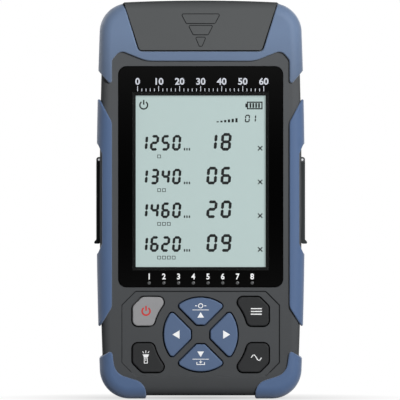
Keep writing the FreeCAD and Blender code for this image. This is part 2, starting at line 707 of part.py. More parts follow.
def make_dust_cover():
    under = COVER_TOP - COVER_THICKNESS
    back = COVER_FACE + COVER_THICKNESS
    inside = block(-GUARD_OUT, GUARD_OUT, back, HALF_DEPTH + BEYOND, COVER_BOTTOM - BEYOND, under)
    bend = [
        e for e in inside.Edges
        if abs(e.BoundBox.YMax - back) < 1e-3 and e.BoundBox.ZMin > under - 1e-3
    ]
    solid = cover_block().cut(inside.makeFillet(COVER_INNER_BEND, bend))
    case_spans, cover_spans = knuckle_spans()
    clear = HINGE_Y - HINGE_BARREL - KNUCKLE_GAP
    far, low, high = HALF_DEPTH + BEYOND, under - BEYOND, COVER_TOP + BEYOND
    for x0, x1 in case_spans:
        solid = solid.cut(block(x0 - KNUCKLE_GAP, x1 + KNUCKLE_GAP, clear, far, low, high))
    reach = case_spans[-1][1]
    solid = solid.cut(both_sides(block(reach, GUARD_OUT, clear - COVER_RELIEF, far, low, high)))
    for x0, x1 in cover_spans:
        barrel = bar_x(x0, x1, HINGE_Y, HINGE_Z, HINGE_BARREL)
        web = block(x0, x1, HINGE_Y - HINGE_BARREL, HINGE_Y, HINGE_Z, under + COVER_THICKNESS / 4)
        solid = solid.fuse(barrel).fuse(web)
    solid = solid.fuse([thumb_pad(pad) for pad in THUMB_PADS] + cover_ribs()).removeSplitter()
    for pad in THUMB_PADS:
        solid = solid.cut(thumb_groove(pad))
    solid = solid.cut(bar_x(-reach, reach, HINGE_Y, HINGE_Z, HINGE_PIN + HINGE_RUN))
    save("dust_cover", solid)
    save("cover_hinge_pin", bar_x(-reach, reach, HINGE_Y, HINGE_Z, HINGE_PIN))


# ---- keypad --------------------------------------------------------------------------------
def nav_outline(grow):
    """Up key, from the centre of the arrow keys."""
    radius = NAV_RADIUS + grow
    step = (NAV_BAND - grow) * math.sqrt(2)
    inner = NAV_INNER - grow
    x = (-step + math.sqrt(2 * radius**2 - step**2)) / 2
    points = [V(-x, 0, x + step), V(step - inner, 0, inner), V(inner - step, 0, inner), V(x, 0, x + step)]
    edges = [Part.LineSegment(points[i], points[i + 1]).toShape() for i in range(3)]
    edges.append(Part.Arc(points[3], V(0, 0, radius), points[0]).toShape())
    return Part.Wire(edges), NAV_CORNER + grow


def corner_outline(grow):
    """Upper right corner key, from the centre of the arrow keys."""
    radius = CORNER_KEY_RADIUS - grow
    out = CORNER_KEY_OUT + grow
    low = CORNER_KEY_LOW - grow
    high = CORNER_KEY_HIGH + grow
    cut = CORNER_KEY_CHAMFER + grow * (2 - math.sqrt(2))
    start = V(math.sqrt(radius**2 - low**2), 0, low)
    end = V(math.sqrt(radius**2 - high**2), 0, high)
    points = [start, V(out, 0, low), V(out, 0, high - cut), V(out - cut, 0, high), end]
    edges = [Part.LineSegment(points[i], points[i + 1]).toShape() for i in range(4)]
    edges.append(arc(end, V(0, 0, 0), radius, start))
    return Part.Wire(edges), CORNER_KEY_CORNER + grow


def key_prism(outline_of, grow, y0, y1):
    wire, corner = outline_of(grow)
    solid = extrude(wire, y0, y1)
    return solid.makeFillet(corner, edges_along_y(solid))


def placed(shape, turn, flip):
    """Turn or mirror a key about the centre of the arrow keys, then lift it to its place."""
    result = shape.copy()
    if flip[0] < 0:
        result = result.mirror(V(0, 0, 0), V(1, 0, 0))
    if flip[1] < 0:
        result = result.mirror(V(0, 0, 0), V(0, 0, 1))
    result.rotate(V(0, 0, 0), V(0, 1, 0), turn)
    result.translate(V(0, 0, NAV_HEIGHT))
    return result


KEYS = {
    "key_up": (nav_outline, 0, (1, 1)),
    "key_right": (nav_outline, 90, (1, 1)),
    "key_down": (nav_outline, 180, (1, 1)),
    "key_left": (nav_outline, 270, (1, 1)),
    "key_menu": (corner_outline, 0, (1, 1)),
    "key_power": (corner_outline, 0, (-1, 1)),
    "key_torch": (corner_outline, 0, (-1, -1)),
    "key_wavelength": (corner_outline, 0, (1, -1)),
}


def key_cap(outline_of):
    face = FIELD_Y - KEY_PROUD
    cap = key_prism(outline_of, 0, face, INSIDE_FRONT + SLIP)
    rim = [e for e in cap.Edges if abs(e.BoundBox.YMax - face) < 1e-3]
    cap = cap.makeFillet(KEY_EDGE, rim)
    front = INSIDE_FRONT + SLIP
    return cap.fuse(key_prism(outline_of, FLANGE_GROW, front, front + FLANGE_THICKNESS))


def key_apertures():
    return [
        placed(key_prism(outline_of, KEY_GAP, -HALF_DEPTH - 1, INSIDE_FRONT + 1), turn, flip)
        for outline_of, turn, flip in KEYS.values()
    ]


def dome_places():
    reach = DOME_REACH
    arrows = [(0, reach), (reach, 0), (0, -reach), (-reach, 0)]
    corners = [(u, v) for u in (-DOME_OUT, DOME_OUT) for v in (-DOME_UP, DOME_UP)]
    return [(u, NAV_HEIGHT + v) for u, v in arrows + corners]


def make_keypad():
    for name, (outline_of, turn, flip) in KEYS.items():
        save(name, placed(key_cap(outline_of), turn, flip))
    back = BOARD_FRONT - MAT_THICKNESS
    tip = INSIDE_FRONT + SLIP + FLANGE_THICKNESS
    mat = rounded_block(
        MAT_HALF_WIDTH, PAD_BOTTOM + MAT_INSET, PAD_TOP - MAT_INSET, MAT_CORNER, back, BOARD_FRONT)
    domes = [
        Part.makeCone(DOME_BASE, DOME_TOP, back - tip, V(x, back, z), V(0, -1, 0))
        for x, z in dome_places()
    ]
    save("keypad_mat", mat.fuse(domes))


# ---- display -------------------------------------------------------------------------------
def led_places():
    start = -LED_PITCH * (LED_COUNT - 1) / 2
    return [start + LED_PITCH * i for i in range(LED_COUNT)]


def lens_plate(inset, y0, y1):
    return plate([
        (-LENS_HALF_WIDTH + inset, LENS_BOTTOM + inset, LENS_CORNER),
        (LENS_HALF_WIDTH - inset, LENS_BOTTOM + inset, LENS_CORNER),
        (LENS_HALF_WIDTH - inset, LENS_TOP - inset, LENS_CORNER),
        (-LENS_HALF_WIDTH + inset, LENS_TOP - inset, LENS_CORNER),
    ], y0, y1)


def glass_block(grow, y0, y1):
    half = GLASS_HALF_WIDTH + grow
    return block(-half, half, y0, y1, GLASS_BOTTOM - grow, GLASS_TOP + grow)


def make_display():
    lens = lens_plate(0, LENS_BACK - LENS_THICKNESS, LENS_BACK)
    save("display_lens", lens)
    tape = lens_plate(TAPE_INSET, LENS_BACK, LENS_BACK + TAPE)
    save("lens_gasket", tape.cut(lens_plate(TAPE_INSET + TAPE_WIDTH, LENS_BACK - 1, LENS_BACK + 1)))
    front = INSIDE_FRONT + GLASS_CLEAR
    middle = front + GLASS_THICKNESS
    save("lcd_glass", glass_block(0, front, middle))
    save("backlight", glass_block(0, middle, BOARD_FRONT))
    frame = glass_block(GLASS_CLEAR + FRAME_WALL, front, BOARD_FRONT)
    save("lcd_frame", frame.cut(glass_block(GLASS_CLEAR, front - 1, BOARD_FRONT + 1)))
    pipes = [
        bar_y(LENS_BACK, BOARD_FRONT, x, LED_HEIGHT, LED_RADIUS).fuse(
            block(x - LED_BASE / 2, x + LED_BASE / 2, BOARD_FRONT - LED_BASE_HEIGHT, BOARD_FRONT,
                  LED_HEIGHT - LED_BASE_HALF, LED_HEIGHT + LED_BASE_HALF))
        for x in led_places()
    ]
    save("indicator_leds", Part.Compound(pipes))


def make_board():
    board = plate([
        (-BOARD_HALF_WIDTH, BOARD_BOTTOM, BOARD_CORNER), (BOARD_HALF_WIDTH, BOARD_BOTTOM, BOARD_CORNER),
        (BOARD_HALF_WIDTH, BOARD_TOP, BOARD_TOP_CORNER), (-BOARD_HALF_WIDTH, BOARD_TOP, BOARD_TOP_CORNER),
    ], BOARD_FRONT, BOARD_BACK)
    front, back = BOARD_FRONT - BEYOND, BOARD_BACK + BEYOND
    room = BOSS_FRONT + BOARD_NOTCH_CLEAR
    for x, z in screw_places():
        if x > 0:
            notch = bar_y(front, back, x, z, room).fuse(block(x, HALF_WIDTH, front, back, z - room, z + room))
            board = board.cut(both_sides(notch))
    for x, z in board_screw_places():
        board = board.cut(bar_y(front, back, x, z, BOARD_SCREW_RADIUS))
    save("main_board", board)
    save("board_screws", Part.Compound([
        bar_y(BOARD_BACK - BOARD_SCREW_LENGTH, BOARD_BACK, x, z, BOARD_SCREW_RADIUS).fuse(
            bar_y(BOARD_BACK, BOARD_BACK + BOARD_SCREW_HEAD_HEIGHT, x, z, BOARD_SCREW_HEAD))
        for x, z in board_screw_places()
    ]))
    x, z = BUZZER_PLACE
    top = BOARD_BACK + BUZZER_HEIGHT
    buzzer = bar_y(BOARD_BACK, top, x, z, BUZZER_RADIUS)
    save("buzzer", buzzer.cut(bar_y(top - BUZZER_HOLE, top + BEYOND, x, z, BUZZER_HOLE)))
    x, z = CHIP_PLACE
    half = CHIP_SIZE / 2
    save("processor", block(x - half, x + half, BOARD_BACK, BOARD_BACK + CHIP_THICKNESS, z - half, z + half))


# ---- connector bay -------------------------------------------------------------------------
def bay_room():
    """Hollow of the bay, open at the front and top, and the slot that holds its floor."""
    half = BAY_HALF_WIDTH
    under = BAY_FLOOR - PANEL_THICKNESS - BAY_WALL - BEYOND
    above = block(-half, half, -HALF_DEPTH - BEYOND, BAY_BACK, BAY_FLOOR, COVER_TOP + BEYOND)
    below = block(-half, half, INSIDE_FRONT, BAY_BACK, under, BAY_FLOOR)
    return above.fuse(below).fuse(panel_block(0))


def panel_block(clear):
    half = BAY_HALF_WIDTH + PANEL_INTO_WALL - clear
    return block(
        -half, half, INSIDE_FRONT + clear, BAY_BACK + PANEL_INTO_WALL - clear,
        BAY_FLOOR - PANEL_THICKNESS, BAY_FLOOR)


def port_adapter(x, sleeve_low, sleeve_top):
    """Flanged adapter with the bore for its sleeve and the annular mouth round it."""
    half, top = PORT_FLANGE / 2, BAY_FLOOR + PORT_FLANGE_THICKNESS
    flange = block(x - half, x + half, PORT_Y - half, PORT_Y + half, BAY_FLOOR, top)
    flange = flange.makeFillet(PORT_FLANGE_CORNER, [e for e in flange.Edges if e.BoundBox.ZLength > 1])
    port = bar_z(BAY_FLOOR - PANEL_THICKNESS, PORT_TOP, x, PORT_Y, PORT_BARREL).fuse(flange)
    port = port.cut(bar_z(sleeve_low, PORT_TOP + BEYOND, x, PORT_Y, SLEEVE_OUT))
    port = port.cut(bar_z(sleeve_top - PORT_MOUTH_DEPTH, PORT_TOP + BEYOND, x, PORT_Y, PORT_MOUTH))
    for sx, sy in port_screw_places(x):
        port = port.cut(bar_z(BAY_FLOOR - BEYOND, PORT_TOP, sx, sy, PORT_SCREW))
    return port


def port_screw_places(x):
    reach = PORT_FLANGE / 2 - PORT_SCREW_INSET
    return [(x + side * reach, PORT_Y + side * reach) for side in (-1, 1)]


def make_connector_bay():
    panel = panel_block(PANEL_CLEAR)
    for x, r in ((-PORT_X, PORT_BARREL), (0, TORCH_RADIUS), (PORT_X, PORT_BARREL)):
        panel = panel.cut(bar_z(BAY_FLOOR - BEYOND, BAY_FLOOR + BEYOND, x, PORT_Y, r))
    save("connector_panel", panel)
    ports, sleeves, screws, modules = [], [], [], []
    top = PORT_TOP - SLEEVE_SINK
    low = top - SLEEVE_LENGTH
    flange_top = BAY_FLOOR + PORT_FLANGE_THICKNESS
    under = BAY_FLOOR - PANEL_THICKNESS
    for x in (-PORT_X, PORT_X):
        ports.append(port_adapter(x, low, top))
        sleeves.append(bar_z(low, top, x, PORT_Y, SLEEVE_OUT).cut(
            bar_z(low - BEYOND, top + BEYOND, x, PORT_Y, SLEEVE_BORE)))
        for sx, sy in port_screw_places(x):
            screws.append(bar_z(BAY_FLOOR, flange_top, sx, sy, PORT_SCREW).fuse(
                bar_z(flange_top, flange_top + PORT_SCREW_HEAD_HEIGHT, sx, sy, PORT_SCREW_HEAD)))
        back = under - DETECTOR_LENGTH
        modules.append(bar_z(back, under, x, PORT_Y, DETECTOR_RADIUS).fuse(
            bar_z(back - DETECTOR_LEAD_LENGTH, back, x, PORT_Y, DETECTOR_LEAD)))
    save("port_adapters", Part.Compound(ports))
    save("alignment_sleeves", Part.Compound(sleeves))
    save("port_screws", Part.Compound(screws))
    save("detector_modules", Part.Compound(modules))
    lamp_top = under + TORCH_LED_RISE
    save("torch_led", bar_z(lamp_top - TORCH_LED_LENGTH, lamp_top, 0, PORT_Y, TORCH_LED_RADIUS))
    dome = Part.makeSphere(TORCH_DOME, V(0, PORT_Y, BAY_FLOOR + TORCH_RISE - TORCH_DOME))
    save("torch_lens", bar_z(lamp_top, BAY_FLOOR + TORCH_RADIUS, 0, PORT_Y, TORCH_RADIUS).common(dome))


# ---- side doors and sockets ----------------------------------------------------------------
def socket_room():
    """Opening in the right side for the two network sockets."""
    clear = SOCKET_CLEAR
    low = SOCKET_HEIGHTS[0] - SOCKET_HALF_HEIGHT - clear
    high = SOCKET_HEIGHTS[-1] + SOCKET_HALF_HEIGHT + clear
    return block(HALF_WIDTH - 2 * WALL, HALF_WIDTH + BEYOND, BOARD_BACK - clear,
                 BOARD_BACK + SOCKET_DEPTH + clear, low, high)


def usb_shape(grow, x0, x1):
    """Flat oval bar along X at the place of the service socket, grown by grow."""
    half = USB_HALF_LENGTH + grow
    thick = USB_HALF_HEIGHT + grow
    y = BOARD_BACK + USB_HALF_HEIGHT
    shape = block(x0, x1, y - thick, y + thick, USB_HEIGHT - half, USB_HEIGHT + half)
    return shape.makeFillet(thick * 0.95, [e for e in shape.Edges if e.BoundBox.XLength > 1])


def door_hinge_room():
    """Groove in the case for the barrel of the right door."""
    reach = DOOR_HALF_DEPTH - LUG_LENGTH
    return bar_y(DOOR_Y - reach, DOOR_Y + reach, HINGE_DOOR_X, HINGE_DOOR_Z, DOOR_BARREL + DOOR_ROOM)


def door_pin(radius):
    """Bar along the right door's hinge, from lug to lug."""
    return bar_y(DOOR_Y - DOOR_HALF_DEPTH, DOOR_Y + DOOR_HALF_DEPTH, HINGE_DOOR_X, HINGE_DOOR_Z, radius)


def door_lugs():
    """Lugs at the two ends of the right door's hinge."""
    lugs = []
    for y0 in (DOOR_Y - DOOR_HALF_DEPTH, DOOR_Y + DOOR_HALF_DEPTH - LUG_LENGTH):
        y1 = y0 + LUG_LENGTH
        root = block(HALF_WIDTH - 1, HINGE_DOOR_X, y0, y1, HINGE_DOOR_Z - DOOR_BARREL, DOOR_TOP)
        lugs.append(bar_y(y0, y1, HINGE_DOOR_X, HINGE_DOOR_Z, DOOR_BARREL).fuse(root))
    return lugs


def make_side_doors():
    inner = HALF_WIDTH + DOOR_CLEAR
    y0, y1 = DOOR_Y - DOOR_HALF_DEPTH, DOOR_Y + DOOR_HALF_DEPTH
    door = plate([
        (inner, DOOR_BOTTOM, 0.4), (DOOR_OUT, DOOR_BOTTOM, 0.4),
        (DOOR_OUT, HINGE_DOOR_Z, 0), (inner, HINGE_DOOR_Z, 0),
    ], y0, y1)
    nub = plate([
        (inner + DOOR_PLATE / 2, DOOR_BOTTOM, 0.3), (NUB_OUT, DOOR_BOTTOM, 0.5),
        (NUB_OUT, DOOR_BOTTOM + NUB_HEIGHT * 0.4, 0.5), (DOOR_OUT - 0.3, DOOR_BOTTOM + NUB_HEIGHT, 0.3),
    ], y0 + NUB_INSET, y1 - NUB_INSET)
    door = door.fuse(nub)
    short = LUG_LENGTH + DOOR_SIDE_GAP
    under = HINGE_DOOR_Z - DOOR_BARREL - DOOR_SIDE_GAP
    for a, b in ((y0 - 1, y0 + short), (y1 - short, y1 + 1)):
        door = door.cut(block(inner - BEYOND, DOOR_OUT + BEYOND, a, b, under, DOOR_TOP + BEYOND))
    barrel = bar_y(y0 + short, y1 - short, HINGE_DOOR_X, HINGE_DOOR_Z, DOOR_BARREL)
    door = door.fuse(barrel).removeSplitter().cut(door_pin(DOOR_PIN + DOOR_RUN))
    save("port_door_right", door)
    save("port_door_left", mirrored(door))
    save("door_pin_right", door_pin(DOOR_PIN))
    save("door_pin_left", mirrored(door_pin(DOOR_PIN)))


def contact_strip(z, inner, floor):
    """Sprung wire that slants up from the floor of the plug opening."""
    tip = SOCKET_FACE - CONTACT_TIP
    low = z - CONTACT_WIDTH / 2
    side = Part.makePolygon([
        V(inner + 1.0, floor, low), V(inner + 1.6, floor, low),
        V(tip, floor + CONTACT_RISE, low), V(tip - 0.4, floor + CONTACT_RISE + 0.3, low),
        V(inner + 1.0, floor, low),
    ])
    return Part.Face(side).extrude(V(0, 0, CONTACT_WIDTH))


def make_sockets():
    jacks, wires = [], []
    back = SOCKET_FACE - SOCKET_LENGTH
    inner = SOCKET_FACE - SOCKET_REACH
    out = SOCKET_FACE + BEYOND
    floor = BOARD_BACK + SOCKET_FLOOR
    for z in SOCKET_HEIGHTS:
        half, mouth, latch = SOCKET_HALF_HEIGHT, SOCKET_MOUTH, LATCH_HALF
        top = floor + SOCKET_MOUTH_DEPTH
        body = block(back, SOCKET_FACE, BOARD_BACK, BOARD_BACK + SOCKET_DEPTH, z - half, z + half)
        body = body.cut(block(inner, out, floor, top, z - mouth, z + mouth))
        jacks.append(body.cut(block(inner, out, floor, top + LATCH_DEPTH, z - latch, z + latch)))
        for i in range(CONTACT_COUNT):
            wires.append(contact_strip(z + (i - (CONTACT_COUNT - 1) / 2) * CONTACT_PITCH, inner, floor))
    save("network_sockets", Part.Compound(jacks))
    save("socket_contacts", Part.Compound(wires))
    make_left_sockets()


def make_left_sockets():
    """Service socket and charging jack on the left side."""
    face = -SOCKET_FACE
    usb = usb_shape(0, face, face + USB_LENGTH)
    usb = usb.cut(usb_shape(-USB_SHEET, face - 1, face + USB_LENGTH - 1))
    y = BOARD_BACK + USB_HALF_HEIGHT
    tongue = block(face + USB_RECESS, face + USB_LENGTH - USB_SHEET, y - USB_SHEET, y + USB_SHEET,
                   USB_HEIGHT - USB_TONGUE, USB_HEIGHT + USB_TONGUE)
    save("usb_socket", usb.fuse(tongue))
    y = BOARD_BACK + CHARGE_AXIS
    inside = WALL + SOCKET_CLEAR - HALF_WIDTH
    jack = block(inside, face + CHARGE_LENGTH, BOARD_BACK, y + CHARGE_AXIS,
                 CHARGE_HEIGHT - CHARGE_HALF, CHARGE_HEIGHT + CHARGE_HALF)
    jack = jack.fuse(bar_x(face, inside + 1, y, CHARGE_HEIGHT, CHARGE_RADIUS))
    jack = jack.cut(bar_x(face - 1, face + CHARGE_BORE_DEPTH, y, CHARGE_HEIGHT, CHARGE_BORE))
    pin = bar_x(face + 1, face + CHARGE_BORE_DEPTH + 1, y, CHARGE_HEIGHT, CHARGE_PIN)
    save("charge_socket", jack.fuse(pin))


# ---- back ----------------------------------------------------------------------------------
def stand_outline(grow):
    """Outline of the kickstand, grown by grow, and above its axis far enough to swing."""
    top = STAND_TOP + (STAND_THICKNESS / 2 + STAND_GAP if grow else 0)
    low = STAND_BOTTOM - grow
    foot, wide, knee = STAND_HALF_FOOT + grow, STAND_HALF_WIDTH + grow, STAND_TOP - STAND_STRAIGHT
    corner = STAND_CORNER + grow
    return [
        (-foot, low, corner), (foot, low, corner), (wide, knee, 0), (wide, top, 0),
        (-wide, top, 0), (-wide, knee, 0),
    ]


def stand_pocket():
    """Recess for the kickstand, with the bores for its stubs and a finger scoop at its foot."""
    pocket = plate(stand_outline(STAND_GAP), STAND_FLOOR, HALF_DEPTH + BEYOND)
    reach = STAND_HALF_WIDTH + STAND_STUB_LENGTH + STAND_GAP
    bores = bar_x(-reach, reach, STAND_Y, STAND_TOP, STAND_STUB + STAND_RUN)
    scoop = Part.makeSphere(SCOOP_RADIUS, V(0, HALF_DEPTH + SCOOP_RISE, STAND_BOTTOM - 1))
    return pocket.fuse(bores).fuse(scoop)


def make_kickstand():
    half = STAND_THICKNESS / 2
    y0, y1 = STAND_Y - half, STAND_Y + half
    stand = plate(stand_outline(0), y0, y1)
    stand = stand.fuse(bar_x(-STAND_HALF_WIDTH, STAND_HALF_WIDTH, STAND_Y, STAND_TOP, half))
    foot, wide = STAND_HALF_FOOT - STAND_RIM, STAND_HALF_WIDTH - STAND_RIM
    low, high, corner = STAND_BOTTOM + STAND_PANEL_END, STAND_TOP - STAND_PANEL_END, STAND_PANEL_CORNER
    stand = stand.cut(plate([
        (-foot, low, corner), (foot, low, corner), (wide, high, corner), (-wide, high, corner),
    ], y1 - STAND_PANEL_DEPTH, y1 + BEYOND))
    reach = STAND_HALF_WIDTH + STAND_STUB_LENGTH
    save("kickstand", stand.fuse(bar_x(-reach, reach, STAND_Y, STAND_TOP, STAND_STUB)).removeSplitter())


def battery_door_plate(gap, y0, y1):
    return rounded_block(
        BATTERY_DOOR_HALF + gap, BATTERY_DOOR_BOTTOM - gap, BATTERY_DOOR_TOP + gap,
        BATTERY_DOOR_CORNER + gap, y0, y1)


def battery_door_hooks(clear):
    """Two hooks at the door's foot and one at its head, grown by clear."""
    y1 = HALF_DEPTH - BATTERY_DOOR_THICKNESS
    y0 = y1 - HOOK_THICKNESS - clear
    foot = BATTERY_DOOR_BOTTOM
    right = block(HOOK_X - HOOK_HALF - clear, HOOK_X + HOOK_HALF + clear, y0, y1,
                  foot - HOOK_REACH - clear, foot + HOOK_ROOT + clear)
    half = CATCH_HOOK_HALF + clear
    head = block(-half, half, y0, y1, BATTERY_DOOR_TOP - HOOK_ROOT - clear,
                 BATTERY_DOOR_TOP + CATCH_HOOK_REACH + clear)
    return [right, mirrored(right), head]


def battery_room():
    """Well for the cells, the step that seats their door, and pockets for its hooks."""
    back = HALF_DEPTH + BEYOND
    well = block(-WELL_HALF_WIDTH, WELL_HALF_WIDTH, WELL_FLOOR, back, WELL_BOTTOM, WELL_TOP)
    step = battery_door_plate(BATTERY_DOOR_GAP, HALF_DEPTH - BATTERY_DOOR_THICKNESS, back)
    return fuse_all([well, step] + battery_door_hooks(HOOK_CLEAR))


def make_battery_door():
    """Door with hooks at its foot and, at its head, a catch with grip grooves over an arrow."""
    inner = HALF_DEPTH - BATTERY_DOOR_THICKNESS
    door = battery_door_plate(0, inner, HALF_DEPTH).fuse(battery_door_hooks(0))
    floor, back = HALF_DEPTH - THUMB_DEPTH, HALF_DEPTH + BEYOND
    slot = block(CATCH_HALF, CATCH_HALF + CATCH_SLOT, inner - 1, back,
                 BATTERY_DOOR_TOP - CATCH_LENGTH, BATTERY_DOOR_TOP + 1)
    door = door.cut(both_sides(slot))
    for i in range(THUMB_RIBS):
        z = BATTERY_DOOR_TOP - THUMB_RIB_PITCH * (i + 1)
        door = door.cut(block(-THUMB_RIB_HALF, THUMB_RIB_HALF, floor, back, z, z + THUMB_RIB_WIDTH))
    top = BATTERY_DOOR_TOP - CATCH_LENGTH - THUMB_RIB_PITCH
    arrow = [(0, top - THUMB_ARROW, 0.8), (THUMB_ARROW, top, 0.8), (-THUMB_ARROW, top, 0.8)]
    save("battery_door", door.cut(plate(arrow, floor, back)))


def battery_cell(x, up):
    """Cylindrical cell with its nub at the top, or at the bottom when up is False."""
    body = CELL_BOTTOM if up else CELL_BOTTOM + CELL_NUB_HEIGHT
    length = CELL_LENGTH - CELL_NUB_HEIGHT
    nub = CELL_BOTTOM + length if up else CELL_BOTTOM
    cell = bar_z(body, body + length, x, CELL_Y, CELL_RADIUS)
    cell = cell.makeFillet(CELL_EDGE, [e for e in cell.Edges if e.Closed])
    return cell.fuse(bar_z(nub, nub + CELL_NUB_HEIGHT, x, CELL_Y, CELL_NUB))


def contact_spring(x, z0, z1):
    """Short barrel that stands for a cell's contact spring or button."""
    return bar_z(z0, z1, x, CELL_Y, SPRING_RADIUS).cut(bar_z(z0 - 1, z1 + 1, x, CELL_Y, SPRING_BORE))


def make_battery():
    make_battery_door()
    cells, plates, springs = [], [], []
    pitch = 2 * (CELL_RADIUS + CELL_CLEAR)
    low, high, half = WELL_BOTTOM + CONTACT_PLATE, WELL_TOP - CONTACT_PLATE, CONTACT_HALF
    for i in range(CELL_COUNT):
        x = (i - (CELL_COUNT - 1) / 2) * pitch
        cells.append(battery_cell(x, i % 2 == 0))
        for z0, z1 in ((WELL_BOTTOM, low), (high, WELL_TOP)):
            plates.append(block(x - half, x + half, CELL_Y - half, CELL_Y + half, z0, z1))
        springs.append(contact_spring(x, low, CELL_BOTTOM))
        springs.append(contact_spring(x, CELL_BOTTOM + CELL_LENGTH, high))
    save("battery_cells", Part.Compound(cells))
    save("battery_plates", Part.Compound(plates))
    save("battery_springs", Part.Compound(springs))


# ---- shells --------------------------------------------------------------------------------
def screw_places():
    return [(x, z) for z in SCREW_HEIGHTS for x in (-SCREW_X, SCREW_X)]


def board_screw_places():
    return [(x, z) for z in BOARD_SCREW_HEIGHTS for x in (-BOARD_SCREW_X, BOARD_SCREW_X)]


def kept_solid():
    """What stays solid inside the hollow of the case."""
    out = BAY_HALF_WIDTH + BAY_WALL
    under_bay = BAY_FLOOR - PANEL_THICKNESS - BAY_WALL
    stand = STAND_HALF_WIDTH + STAND_STUB_LENGTH + STAND_GAP + STAND_BACKING
    well = WELL_HALF_WIDTH + WELL_WALL
    parts = [
        block(-out, out, INSIDE_FRONT - 1, BAY_BACK + BAY_WALL, under_bay, COVER_TOP),
        block(-HALF_WIDTH, HALF_WIDTH, BAY_BACK, HALF_DEPTH, HINGE_FLOOR - WALL, COVER_TOP),
        block(-stand, stand, STAND_FLOOR - STAND_BACKING, HALF_DEPTH,
              STAND_BOTTOM - SCOOP_RADIUS, STAND_TOP + BEYOND),
        block(-well, well, WELL_FLOOR - WELL_WALL, HALF_DEPTH, WELL_BOTTOM - WELL_WALL, WELL_TOP + WELL_WALL),
    ]
    for x, z in screw_places():
        parts.append(bar_y(INSIDE_FRONT - 1, PARTING_Y, x, z, BOSS_FRONT))
        parts.append(bar_y(PARTING_Y, INSIDE_BACK + 1, x, z, BOSS_BACK))
    for x, z in board_screw_places():
        parts.append(bar_y(INSIDE_FRONT - 1, BOARD_FRONT, x, z, BOSS_FRONT))
    return parts


def keypad_outline(inset):
    """Eight-sided outline of the keypad field, drawn in by inset."""
    half, low, high = PAD_HALF_WIDTH - inset, PAD_BOTTOM + inset, PAD_TOP - inset
    cut, r = PAD_CHAMFER - inset * (2 - math.sqrt(2)), PAD_CORNER
    return rounded([
        (-half, low + cut, r), (-half + cut, low, r), (half - cut, low, r), (half, low + cut, r),
        (half, high - cut, r), (half - cut, high, r), (-half + cut, high, r), (-half, high - cut, r),
    ])


def keypad_field():
    """Shallow field round the keys, with a border that slopes up to the case's face."""
    rim, floor = keypad_outline(0), keypad_outline(PAD_SLOPE)
    above = extrude(rim, -HALF_DEPTH - BEYOND, -HALF_DEPTH)
    rim.translate(V(0, -HALF_DEPTH, 0))
    floor.translate(V(0, FIELD_Y, 0))
    return Part.makeLoft([rim, floor], True, True).fuse(above)


def lens_seat():
    """Pocket for the lens and its gasket, and the window behind them."""
    front = -HALF_DEPTH - BEYOND
    pocket = lens_plate(-LENS_GAP, front, LENS_BACK + TAPE)
    return pocket.fuse(lens_plate(LENS_LEDGE, front, INSIDE_FRONT + 1))


def left_socket_rooms():
    outside, inside = -HALF_WIDTH - BEYOND, 2 * WALL - HALF_WIDTH
    y = BOARD_BACK + CHARGE_AXIS
    return [
        usb_shape(SOCKET_CLEAR, outside, inside),
        bar_x(outside, inside, y, CHARGE_HEIGHT, CHARGE_RADIUS + SOCKET_CLEAR),
    ]


def screw_bores():
    bores = []
    for x, z in screw_places():
        bores.append(bar_y(HEAD_SEAT, HALF_DEPTH + BEYOND, x, z, HEAD_RADIUS + SCREW_CLEAR))
        bores.append(bar_y(PARTING_Y, HEAD_SEAT + 1, x, z, SCREW_RADIUS + SCREW_CLEAR))
        bores.append(bar_y(SCREW_END_Y, PARTING_Y + 1, x, z, SCREW_RADIUS))
    for x, z in board_screw_places():
        bores.append(bar_y(BOARD_BACK - BOARD_SCREW_LENGTH, BOARD_FRONT + 1, x, z, BOARD_SCREW_RADIUS))
    return bores


def shell_openings():
    leds = [bar_y(-HALF_DEPTH, INSIDE_FRONT + 1, x, LED_HEIGHT, LED_HOLE) for x in led_places()]
    rooms = [
        cover_recess(), bay_room(), stand_pocket(), battery_room(), lens_seat(), keypad_field(),
        socket_room(), door_hinge_room(), mirrored(door_hinge_room()),
    ]
    return rooms + leds + key_apertures() + left_socket_rooms() + screw_bores()


def lip(out, clear, y0, y1):
    """Ring that follows the case's outline, out inside its outer face and clear into its hollow."""
    ring = extrude(outline(-out), y0, y1)
    return ring.cut(extrude(outline(-WALL - clear), y0 - 1, y1 + 1))


def hinge_knuckles():
    case_spans, _ = knuckle_spans()
    parts = []
    for x0, x1 in case_spans:
        root = block(x0, x1, HINGE_Y - HINGE_BARREL, HINGE_Y + HINGE_BARREL, HINGE_FLOOR - WALL / 4, HINGE_Z)
        barrel = bar_x(x0, x1, HINGE_Y, HINGE_Z, HINGE_BARREL).fuse(root)
        parts.append(barrel.cut(bar_x(x0 - 1, x1 + 1, HINGE_Y, HINGE_Z, HINGE_PIN + PIN_FIT)))
    return parts


